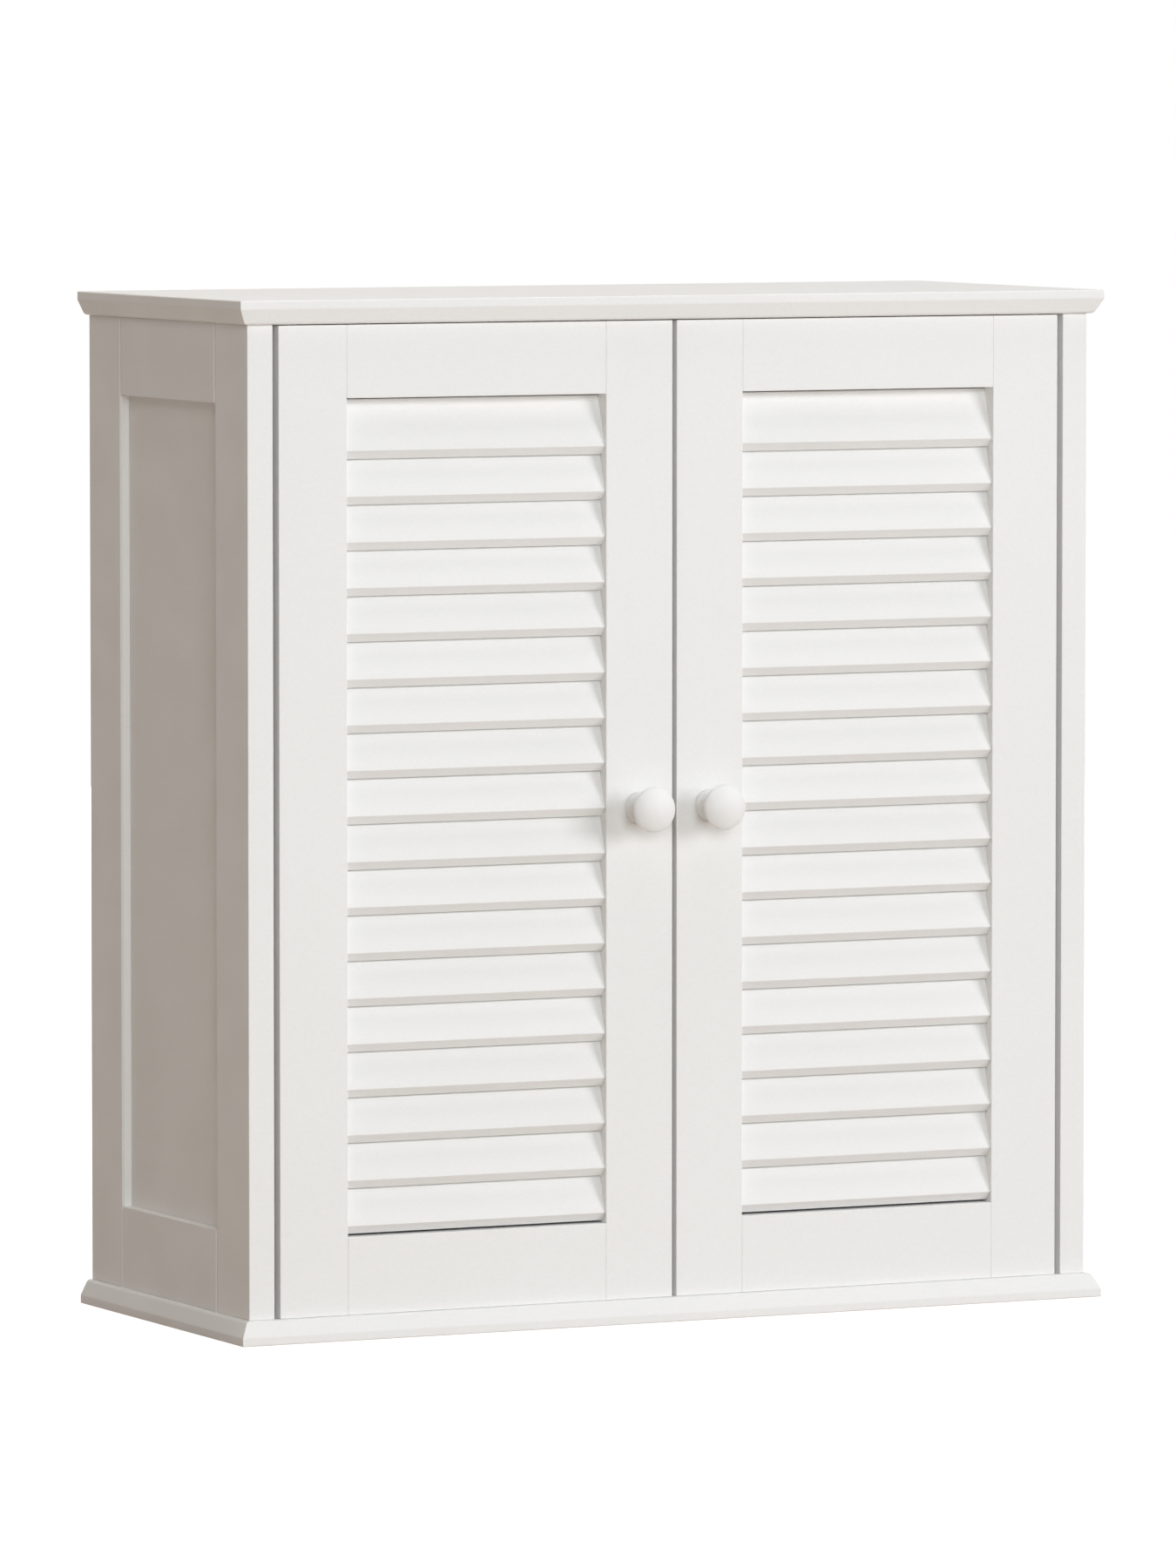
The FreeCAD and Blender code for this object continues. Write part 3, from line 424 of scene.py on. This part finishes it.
def circle_through(first, second, third):
    """Centre and radius of the circle through three points."""
    ax, ay = first
    bx, by = second
    cx, cy = third
    scale = 2 * (ax * (by - cy) + bx * (cy - ay) + cx * (ay - by))
    squares = (ax * ax + ay * ay, bx * bx + by * by, cx * cx + cy * cy)
    x = (squares[0] * (by - cy) + squares[1] * (cy - ay) + squares[2] * (ay - by)) / scale
    y = (squares[0] * (cx - bx) + squares[1] * (ax - cx) + squares[2] * (bx - ax)) / scale
    return (x, y), math.hypot(ax - x, ay - y)


def dome_radius(reach, rim_radius, rise):
    """Radius of a dome that runs smoothly into a rim and stands that far off the rim's plane."""
    return (reach ** 2 + rise ** 2 - rim_radius ** 2) / (2 * (rise - rim_radius))


def turn_mesh(name, profile, steps):
    """Mesh of a profile (radius, height) turned once about Z."""
    shape = bmesh.new()
    points = [shape.verts.new((radius, 0, height)) for radius, height in profile]
    lines = [shape.edges.new(pair) for pair in zip(points, points[1:])]
    bmesh.ops.spin(shape, geom=points + lines, cent=(0, 0, 0), axis=(0, 0, 1), angle=2 * math.pi, steps=steps)
    bmesh.ops.remove_doubles(shape, verts=shape.verts, dist=1e-7)
    bmesh.ops.recalc_face_normals(shape, faces=shape.faces)
    mesh = bpy.data.meshes.new(name)
    shape.to_mesh(mesh)
    shape.free()
    return mesh


def shade_smooth(mesh, sharp_angle):
    """Smooth shading with crisp edges where faces meet at more than the angle."""
    mesh.shade_smooth()
    mesh.set_sharp_from_angle(angle=sharp_angle)


def points_mesh(name, points, closed=False):
    """Bare points, or a closed outline through them."""
    mesh = bpy.data.meshes.new(name)
    count = len(points)
    edges = [(index, (index + 1) % count) for index in range(count)] if closed else []
    mesh.from_pydata(points, edges, [])
    return mesh


def grow(name, mesh, tree, values):
    """Runs a node tree on a mesh and keeps the result as a plain mesh."""
    piece = bpy.data.objects.new(name, mesh)
    modifier = piece.modifiers.new(tree.name, "NODES")
    modifier.node_group = tree
    for item in tree.interface.items_tree:
        if item.item_type == "SOCKET" and item.in_out == "INPUT" and item.name in values:
            modifier[item.identifier] = values[item.name]
    bpy.context.scene.collection.objects.link(piece)
    evaluated = piece.evaluated_get(bpy.context.evaluated_depsgraph_get())
    made = bpy.data.meshes.new_from_object(evaluated)
    piece.modifiers.clear()
    piece.data = made
    bpy.data.meshes.remove(mesh)
    if not made.polygons:
        raise RuntimeError(name + " came out empty")
    made.name = name
    return piece


def add_piece(name, mesh, material):
    piece = bpy.data.objects.new(name, mesh)
    mesh.materials.append(material)
    bpy.context.scene.collection.objects.link(piece)
    return piece


def stand_for(piece, body, node):
    """The piece rides on its body and is shown in place of the CAD node."""
    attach(piece, body)
    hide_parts(node)


# Geometry node trees

def start_tree(name, inputs):
    """A new geometry tree with named inputs."""
    tree = bpy.data.node_groups.new(name, "GeometryNodeTree")
    tree.is_modifier = True
    tree.interface.new_socket("Geometry", in_out="INPUT", socket_type="NodeSocketGeometry")
    for label, kind in inputs:
        tree.interface.new_socket(label, in_out="INPUT", socket_type="NodeSocket" + kind)
    tree.interface.new_socket("Geometry", in_out="OUTPUT", socket_type="NodeSocketGeometry")
    return tree, put(tree, "NodeGroupInput").outputs


def end_tree(tree, instances, material):
    real = put(tree, "GeometryNodeRealizeInstances", {"Geometry": instances}).outputs["Geometry"]
    painted = put(tree, "GeometryNodeSetMaterial", {"Geometry": real, "Material": material})
    put(tree, "NodeGroupOutput", {"Geometry": painted.outputs["Geometry"]})


def slat_tree():
    """A section outline drawn out to a slat and repeated up the door, each slat with its own slight tone."""
    tree, given = start_tree("Louvre slats", [
        ("Length", "Float"), ("Edge radius", "Float"), ("Foot", "Vector"), ("Pitch", "Float"),
        ("Count", "Int"), ("Tone seed", "Int"), ("Tone spread", "Float"), ("Finish", "Material")])
    outline = put(tree, "GeometryNodeMeshToCurve", {"Mesh": given["Geometry"]})
    eased = put(tree, "GeometryNodeFilletCurve", {"Curve": outline.outputs["Curve"],
                                                  "Radius": given["Edge radius"], "Count": 4}, mode="POLY")
    section = put(tree, "GeometryNodeFillCurve", {"Curve": eased.outputs["Curve"]}, mode="NGONS")
    drawn = put(tree, "GeometryNodeExtrudeMesh", {"Mesh": section.outputs["Mesh"], "Offset": UP,
                                                  "Offset Scale": given["Length"], "Individual": False})
    near_end = put(tree, "GeometryNodeFlipFaces", {"Mesh": section.outputs["Mesh"]})
    both = put(tree, "GeometryNodeJoinGeometry", {"Geometry": near_end.outputs["Mesh"]})
    tree.links.new(drawn.outputs["Mesh"], both.inputs["Geometry"])
    closed = put(tree, "GeometryNodeMergeByDistance", {"Geometry": both.outputs["Geometry"],
                                                       "Distance": 1e-6})
    laid = put(tree, "GeometryNodeTransform", {"Geometry": closed.outputs["Geometry"],
                                               "Rotation": (math.pi / 2, 0, math.pi / 2)})
    step = put(tree, "ShaderNodeCombineXYZ", {"Z": given["Pitch"]})
    places = put(tree, "GeometryNodeMeshLine", {"Count": given["Count"], "Start Location": given["Foot"],
                                                "Offset": step.outputs["Vector"]})
    ladder = put(tree, "GeometryNodeInstanceOnPoints", {"Points": places.outputs["Mesh"],
                                                        "Instance": laid.outputs["Geometry"]})
    tone = put(tree, "FunctionNodeRandomValue", data_type="FLOAT")
    tree.links.new(math_of(tree, "MULTIPLY", given["Tone spread"], -1.0), tone.inputs[2])
    tree.links.new(given["Tone spread"], tone.inputs[3])
    tree.links.new(given["Tone seed"], tone.inputs["Seed"])
    toned = put(tree, "GeometryNodeStoreNamedAttribute", {"Geometry": ladder.outputs["Instances"],
                                                          "Name": "slat_tone"},
                data_type="FLOAT", domain="INSTANCE")
    tree.links.new(tone.outputs[1], toned.inputs["Value"])
    end_tree(tree, toned.outputs["Geometry"], given["Finish"])
    return tree


def fastener_tree():
    """A turned fastener with a cross cut in its head, set on each point along one axis."""
    tree, given = start_tree("Cross head fasteners", [
        ("Pattern", "Object"), ("Axis", "Vector"), ("Recess length", "Float"), ("Recess width", "Float"),
        ("Recess depth", "Float"), ("Twist seed", "Int"), ("Finish", "Material")])
    pattern = put(tree, "GeometryNodeObjectInfo", {"Object": given["Pattern"]}).outputs["Geometry"]
    depth = math_of(tree, "MULTIPLY", given["Recess depth"], 2.0)
    length = given["Recess length"]
    width = given["Recess width"]
    cut = put(tree, "GeometryNodeMeshBoolean", {"Mesh 1": pattern}, operation="DIFFERENCE")
    for across, along in ((length, width), (width, length)):
        size = put(tree, "ShaderNodeCombineXYZ", {"X": across, "Y": along, "Z": depth})
        arm = put(tree, "GeometryNodeMeshCube", {"Size": size.outputs["Vector"]})
        tree.links.new(arm.outputs["Mesh"], cut.inputs["Mesh 2"])
    aim = put(tree, "FunctionNodeAlignRotationToVector", {"Vector": given["Axis"]}, axis="Z")
    twist = put(tree, "FunctionNodeRandomValue", {3: 2 * math.pi, "Seed": given["Twist seed"]},
                data_type="FLOAT")
    driven = put(tree, "FunctionNodeAxisAngleToRotation", {"Axis": UP, "Angle": twist.outputs[1]})
    turned = put(tree, "FunctionNodeRotateRotation", {"Rotation": aim.outputs["Rotation"],
                                                      "Rotate By": driven.outputs["Rotation"]},
                 rotation_space="LOCAL")
    places = put(tree, "GeometryNodeMeshToPoints", {"Mesh": given["Geometry"]})
    placed = put(tree, "GeometryNodeInstanceOnPoints", {"Points": places.outputs["Points"],
                                                        "Instance": cut.outputs["Mesh"],
                                                        "Rotation": turned.outputs["Rotation"]})
    end_tree(tree, placed.outputs["Instances"], given["Finish"])
    return tree


# Pieces

class CABINET_OT_paint_frames(bpy.types.Operator):
    """Gives the boards, side frames, door frames, shelf and hanging rail their satin paint"""
    bl_idname = "cabinet.paint_frames"
    bl_label = "Paint boards and frames"

    def execute(self, context):
        settings = context.scene.cabinet_paint
        paint = satin_paint("satin_white_paint", settings.colour, settings.roughness)
        give_finish(nodes_in_slot("white_paint"), paint)
        return {"FINISHED"}


class CABINET_OT_make_slats(bpy.types.Operator):
    """Makes the slats of both doors from one section"""
    bl_idname = "cabinet.make_slats"
    bl_label = "Make louvre slats"

    def section(self, slats, front, back):
        """Corners (y, z) of a slat, measured from its lip, drawn flat in X and Y."""
        lean = math.tan(slats.tilt)
        rear_foot = front + slats.thickness / math.cos(slats.tilt)
        back_start = (back - rear_foot) / lean
        return [(front, 0, 0), (rear_foot - slats.lip_drop * lean, -slats.lip_drop, 0), (back, back_start, 0),
                (back, slats.rise, 0), (front + slats.rise * lean, slats.rise, 0)]

    def execute(self, context):
        slats = context.scene.cabinet_slats
        paint = context.scene.cabinet_paint
        finish = satin_paint("slat_paint", paint.colour, paint.roughness, "slat_tone")
        tree = slat_tree()
        for door in DOORS:
            node = SIDE_OF[door] + "door_slats"
            low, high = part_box(node)
            outline = points_mesh(node + "_section", self.section(slats, low.y, high.y), closed=True)
            climb = high.z - low.z - slats.rise - slats.lip_drop
            piece = grow(SIDE_OF[door] + "louvre_slats", outline, tree, {
                "Length": high.x - low.x, "Edge radius": slats.edge_radius,
                "Foot": (low.x, 0, low.z + slats.lip_drop), "Pitch": climb / (slats.count - 1),
                "Count": slats.count, "Tone seed": slats.tone_seed, "Tone spread": slats.tone_spread,
                "Finish": finish})
            stand_for(piece, door, node)
        return {"FINISHED"}


class CABINET_OT_turn_knobs(bpy.types.Operator):
    """Turns the two knobs"""
    bl_idname = "cabinet.turn_knobs"
    bl_label = "Turn knobs"

    def profile(self, knob, diameter, height):
        """Flat foot, coved neck and a head domed on both sides, as points (radius, height)."""
        rim = (diameter / 2 - knob.rim_radius, knob.rim_height)
        dome = dome_radius(rim[0], knob.rim_radius, height - knob.rim_height)
        back = dome_radius(rim[0], knob.rim_radius, knob.back_drop)
        dome_middle = height - dome
        back_middle = knob.rim_height - knob.back_drop + back
        join_radius = (knob.foot_diameter + knob.neck_diameter) / 4
        join = (join_radius, back_middle - math.sqrt(back ** 2 - join_radius ** 2))
        foot_top = (knob.foot_diameter / 2, knob.foot_height)
        neck = (knob.neck_diameter / 2, (foot_top[1] + join[1]) / 2)
        cove, cove_radius = circle_through(foot_top, neck, join)
        cove_start = math.atan2(foot_top[1] - cove[1], foot_top[0] - cove[0]) % (2 * math.pi)
        cove_end = math.atan2(join[1] - cove[1], join[0] - cove[0]) % (2 * math.pi)
        from_cove = math.atan2(join[1] - back_middle, join[0])
        to_dome = math.atan2(rim[1] - dome_middle, rim[0])
        to_back = math.atan2(rim[1] - back_middle, rim[0])
        points = [(0, 0), (foot_top[0] - knob.foot_ease, 0), (foot_top[0], knob.foot_ease)]
        points += arc(cove, cove_radius, cove_start, cove_end, COVE_STEPS)
        points += arc((0, back_middle), back, from_cove, to_back, BACK_STEPS)[1:]
        points += arc(rim, knob.rim_radius, to_back, to_dome, RIM_STEPS)[1:]
        points += arc((0, dome_middle), dome, to_dome, math.pi / 2, DOME_STEPS)[1:-1]
        return points + [(0, height)]

    def execute(self, context):
        knob = context.scene.cabinet_knobs
        paint = context.scene.cabinet_paint
        for door in DOORS:
            side = SIDE_OF[door]
            node = side + "knob"
            low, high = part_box(node)
            foot = middle_of(node)
            foot.y = high.y
            finish = turned_paint(side + "knob_paint", paint.knob_colour, paint.knob_roughness, foot)
            profile = self.profile(knob, high.x - low.x, high.y - low.y)
            mesh = turn_mesh(side + "turned_knob", profile, KNOB_STEPS)
            mesh.transform(facing(TO_FRONT, foot))
            shade_smooth(mesh, CREASE_ANGLE)
            piece = add_piece(side + "turned_knob", mesh, finish)
            stand_for(piece, door, node)
        return {"FINISHED"}


class CABINET_OT_drive_screws(bpy.types.Operator):
    """Makes the back panel's, catches', strikes' and knobs' screws"""
    bl_idname = "cabinet.drive_screws"
    bl_label = "Drive screws"

    def countersunk(self, screws, head, length):
        """Profile of a countersunk screw, from its tip to the middle of its head at Z = 0."""
        shank = screws.shank / 2
        rim = head / 2
        return [(0, -length), (shank, -length + shank), (shank, -screws.head_height),
                (rim, -screws.rim_height), (rim - screws.rim_ease, 0), (0, 0)]

    def pan_head(self, screws, head, length):
        """Profile of a pan head screw whose head's top is at Z = 0."""
        shank = screws.knob_shank / 2
        rim = head / 2
        under = -screws.knob_head_height
        rounding = screws.knob_head_round
        shoulder = arc((rim - rounding, -rounding), rounding, 0, math.pi / 2, SHOULDER_STEPS)
        return [(0, -length), (shank, -length), (shank, under), (rim, under)] + shoulder + [(0, 0)]

    def drive(self, name, body, node, profile, points, axis, finish):
        """One piece of like screws, set on points along the axis."""
        screws = bpy.context.scene.cabinet_screws
        pattern = bpy.data.objects.new("screw_pattern", turn_mesh("screw_pattern", profile, SCREW_STEPS))
        piece = grow(name, points_mesh(name + "_heads", points), self.tree, {
            "Pattern": pattern, "Axis": axis, "Recess length": screws.recess_length,
            "Recess width": screws.recess_width, "Recess depth": screws.recess_depth,
            "Twist seed": screws.twist_seed, "Finish": finish})
        pattern_mesh = pattern.data
        bpy.data.objects.remove(pattern)
        bpy.data.meshes.remove(pattern_mesh)
        stand_for(piece, body, node)

    def back_screws(self, screws, finish):
        low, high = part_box("back_screws")
        head = width_of("left_strike_screw")
        rise = (high.z - low.z - head) / (screws.back_rows - 1)
        heads = [(x, high.y, low.z + head / 2 + rise * row)
                 for x in (low.x + head / 2, high.x - head / 2) for row in range(screws.back_rows)]
        profile = self.countersunk(screws, head, high.y - low.y)
        self.drive("back_panel_screws", "cabinet", "back_screws", profile, heads, TO_BACK, finish)

    def catch_screws(self, screws, finish):
        low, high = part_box("catch_screws")
        head = width_of("left_strike_screw")
        outer = high.x - head / 2
        inner = 2 * middle_of("right_strike_plate").x - outer
        heads = [(x, (low.y + high.y) / 2, low.z) for x in (-outer, -inner, inner, outer)]
        profile = self.countersunk(screws, head, high.z - low.z)
        self.drive("catch_fixing_screws", "cabinet", "catch_screws", profile, heads, -UP, finish)

    def door_screw(self, door, fitting, shape, screws, finish):
        """The one screw that holds a fitting on a door, with its head at the door's back."""
        side = SIDE_OF[door]
        node = side + fitting + "_screw"
        low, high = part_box(node)
        head = middle_of(node)
        head.y = high.y
        profile = shape(screws, high.x - low.x, high.y - low.y)
        self.drive(side + fitting + "_fixing_screw", door, node, profile, [head], TO_BACK, finish)

    def execute(self, context):
        screws = context.scene.cabinet_screws
        finish = plated_steel("zinc_plate_on_screws", context.scene.cabinet_fittings.zinc, 0.34, 0.0004)
        self.tree = fastener_tree()
        self.back_screws(screws, finish)
        self.catch_screws(screws, finish)
        for door in DOORS:
            self.door_screw(door, "strike", self.countersunk, screws, finish)
            self.door_screw(door, "knob", self.pan_head, screws, finish)
        return {"FINISHED"}


class CABINET_OT_face_back_panel(bpy.types.Operator):
    """Gives the back panel its white facing"""
    bl_idname = "cabinet.face_back_panel"
    bl_label = "Face back panel"

    def execute(self, context):
        colours = context.scene.cabinet_fittings
        give_finish(nodes_in_slot("back_board"), hardboard_facing("white_hardboard", colours.back_board))
        return {"FINISHED"}


class CABINET_OT_finish_dowels(bpy.types.Operator):
    """Gives the dowels their bare beech"""
    bl_idname = "cabinet.finish_dowels"
    bl_label = "Finish dowels"

    def execute(self, context):
        colours = context.scene.cabinet_fittings
        give_finish(nodes_in_slot("beech_dowel"), bare_beech("bare_beech", colours.beech))
        return {"FINISHED"}


class CABINET_OT_plate_fittings(bpy.types.Operator):
    """Gives the cam fittings, pins and strike plates their plating"""
    bl_idname = "cabinet.plate_fittings"
    bl_label = "Plate metal fittings"

    def execute(self, context):
        colours = context.scene.cabinet_fittings
        give_finish(nodes_in_slot("zinc_steel"), plated_steel("zinc_plate", colours.zinc, 0.36, 0.0005))
        give_finish(nodes_in_slot("nickel_steel"), plated_steel("nickel_plate", colours.nickel, 0.26, 0.0003))
        give_finish(nodes_in_slot("cast_zinc"), plated_steel("die_cast_zinc", colours.cast_zinc, 0.5, 0.0012))
        return {"FINISHED"}


class CABINET_OT_finish_mouldings(bpy.types.Operator):
    """Gives the pivot bushes and catch housings their nylon"""
    bl_idname = "cabinet.finish_mouldings"
    bl_label = "Finish bushes and housings"

    def execute(self, context):
        colours = context.scene.cabinet_fittings
        give_finish(nodes_in_slot("white_nylon"), moulded_nylon("moulded_nylon", colours.nylon))
        return {"FINISHED"}


class CABINET_OT_finish_magnets(bpy.types.Operator):
    """Gives the catches' magnets their ferrite"""
    bl_idname = "cabinet.finish_magnets"
    bl_label = "Finish magnets"

    def execute(self, context):
        colours = context.scene.cabinet_fittings
        give_finish(nodes_in_slot("magnet"), pressed_ferrite("pressed_ferrite", colours.ferrite))
        return {"FINISHED"}


# Stage

# Colour, middle, width and height of each lamp
LAMPS = {
    "key": ((0.91, 0.975, 1.0), (-1.2, -5.2, 1.6), 2.4, 2.4),
    "right": ((0.957, 0.965, 1.0), (3.3, -4.2, 1.7), 2.6, 2.2),
    "top": ((1.0, 0.965, 0.935), (0.0, -0.1, 3.8), 2.0, 2.0),
    "left": ((1.0, 0.9, 0.76), (-1.5, 0.6, 2.0), 1.2, 1.2),
    "low": ((1.0, 0.63, 0.42), (-3.4, -1.9, 1.0), 2.0, 1.4),
    "back": ((1.0, 0.985, 0.96), (1.7, 3.9, 0.4), 2.4, 0.5),
}

# The floor's own white near the cabinet and far off, and the distances between which it rises
FLOOR_GLOW = (0.9, 1.0)
FLOOR_GLOW_REACH = (0.6, 1.8)
WHITE = (1.0, 1.0, 1.0, 1.0)


def seen_directly(tree):
    """1 where the camera sees a thing itself, in a mirror or through glass."""
    path = put(tree, "ShaderNodeLightPath").outputs
    straight = math_of(tree, "MAXIMUM", path["Is Camera Ray"], path["Is Glossy Ray"])
    return math_of(tree, "MAXIMUM", straight, path["Is Transmission Ray"])


class CABINET_OT_set_stage(bpy.types.Operator):
    """Sets the pale floor, the soft light and the camera"""
    bl_idname = "cabinet.set_stage"
    bl_label = "Set stage"

    def floor(self, stage):
        half = stage.floor_reach
        corners = [(-half, -half, 0), (half, -half, 0), (half, half, 0), (-half, half, 0)]
        mesh = bpy.data.meshes.new("pale_floor")
        mesh.from_pydata(corners, [], [(0, 1, 2, 3)])
        material = bpy.data.materials.new("pale_floor")
        material.use_nodes = True
        tree = material.node_tree
        tree.nodes.clear()
        matt = put(tree, "ShaderNodeBsdfDiffuse", {"Color": (*stage.floor_colour, 1.0)})
        place = put(tree, "ShaderNodeTexCoord").outputs["Object"]
        reach = put(tree, "ShaderNodeVectorMath", {0: place}, operation="LENGTH").outputs["Value"]
        glow = spread(tree, reach, *FLOOR_GLOW, *FLOOR_GLOW_REACH)
        white = put(tree, "ShaderNodeEmission", {"Color": WHITE})
        tree.links.new(math_of(tree, "MULTIPLY", seen_directly(tree), glow), white.inputs["Strength"])
        both = put(tree, "ShaderNodeAddShader", {0: matt.outputs["BSDF"], 1: white.outputs["Emission"]})
        put(tree, "ShaderNodeOutputMaterial", {"Surface": both.outputs["Shader"]})
        add_piece("pale_floor", mesh, material)

    def room_light(self, stage):
        world = bpy.data.worlds.new("soft_room")
        bpy.context.scene.world = world
        world.use_nodes = True
        tree = world.node_tree
        tree.nodes.clear()
        soft = put(tree, "ShaderNodeBackground", {"Color": (*stage.sky_colour, 1.0),
                                                  "Strength": stage.sky_strength})
        white = put(tree, "ShaderNodeBackground", {"Color": WHITE, "Strength": 1.0})
        mix = put(tree, "ShaderNodeMixShader", {0: seen_directly(tree), 1: soft.outputs["Background"],
                                                2: white.outputs["Background"]})
        put(tree, "ShaderNodeOutputWorld", {"Surface": mix.outputs["Shader"]})

    def lamp(self, name, power, colour, place, width, height):
        """A flat soft lamp that looks at the middle of the cabinet and doesn't show in its gloss."""
        data = bpy.data.lights.new(name, "AREA")
        data.energy = power
        data.color = colour
        data.shape = "RECTANGLE"
        data.size = width
        data.size_y = height
        lamp = bpy.data.objects.new(name, data)
        middle = (cad_box[0] + cad_box[1]) / 2
        lamp.location = place
        lamp.rotation_euler = (middle - Vector(place)).to_track_quat("-Z", "Y").to_euler()
        lamp.visible_camera = False
        lamp.visible_glossy = False
        bpy.context.scene.collection.objects.link(lamp)

    def camera(self, stage):
        data = bpy.data.cameras.new("front_left_camera")
        data.lens = stage.camera_lens
        data.sensor_width = 36.0
        data.clip_end = 200.0
        camera = bpy.data.objects.new("front_left_camera", data)
        camera.location = stage.camera_place
        camera.rotation_euler = (math.pi / 2 - stage.camera_dip, 0, -stage.camera_turn)
        bpy.context.scene.collection.objects.link(camera)
        bpy.context.scene.camera = camera

    def execute(self, context):
        stage = context.scene.cabinet_stage
        context.scene.view_settings.view_transform = "Standard"
        self.floor(stage)
        self.room_light(stage)
        for name, (colour, place, width, height) in LAMPS.items():
            self.lamp(name + "_lamp", getattr(stage, name + "_power"), colour, place, width, height)
        self.camera(stage)
        return {"FINISHED"}


class CABINET_PT_sidebar(bpy.types.Panel):
    """Settings and steps of the cabinet"""
    bl_idname = "CABINET_PT_sidebar"
    bl_label = "Louvred cabinet"
    bl_space_type = "VIEW_3D"
    bl_region_type = "UI"
    bl_category = "Louvred cabinet"

    def draw(self, context):
        for step in STEPS:
            self.layout.operator(step.bl_idname)
        for name in SETTINGS:
            settings = getattr(context.scene, name)
            box = self.layout.box()
            for label in settings.__annotations__:
                box.prop(settings, label)


SETTINGS = {
    "cabinet_paint": PaintSettings,
    "cabinet_fittings": FittingSettings,
    "cabinet_slats": SlatSettings,
    "cabinet_knobs": KnobSettings,
    "cabinet_screws": ScrewSettings,
    "cabinet_stage": StageSettings,
}
STEPS = (
    CABINET_OT_paint_frames,
    CABINET_OT_face_back_panel,
    CABINET_OT_finish_dowels,
    CABINET_OT_plate_fittings,
    CABINET_OT_finish_mouldings,
    CABINET_OT_finish_magnets,
    CABINET_OT_make_slats,
    CABINET_OT_turn_knobs,
    CABINET_OT_drive_screws,
    CABINET_OT_set_stage,
)


def register():
    for settings in SETTINGS.values():
        bpy.utils.register_class(settings)
    for name, settings in SETTINGS.items():
        setattr(bpy.types.Scene, name, PointerProperty(type=settings))
    for step in STEPS:
        bpy.utils.register_class(step)
    bpy.utils.register_class(CABINET_PT_sidebar)


def unregister():
    bpy.utils.unregister_class(CABINET_PT_sidebar)
    for step in reversed(STEPS):
        bpy.utils.unregister_class(step)
    for name, settings in SETTINGS.items():
        delattr(bpy.types.Scene, name)
        bpy.utils.unregister_class(settings)


def main():
    register()
    bpy.ops.cabinet.paint_frames()
    bpy.ops.cabinet.face_back_panel()
    bpy.ops.cabinet.finish_dowels()
    bpy.ops.cabinet.plate_fittings()
    bpy.ops.cabinet.finish_mouldings()
    bpy.ops.cabinet.finish_magnets()
    bpy.ops.cabinet.make_slats()
    bpy.ops.cabinet.turn_knobs()
    bpy.ops.cabinet.drive_screws()
    bpy.ops.cabinet.set_stage()


if __name__ == "__main__":
    main()
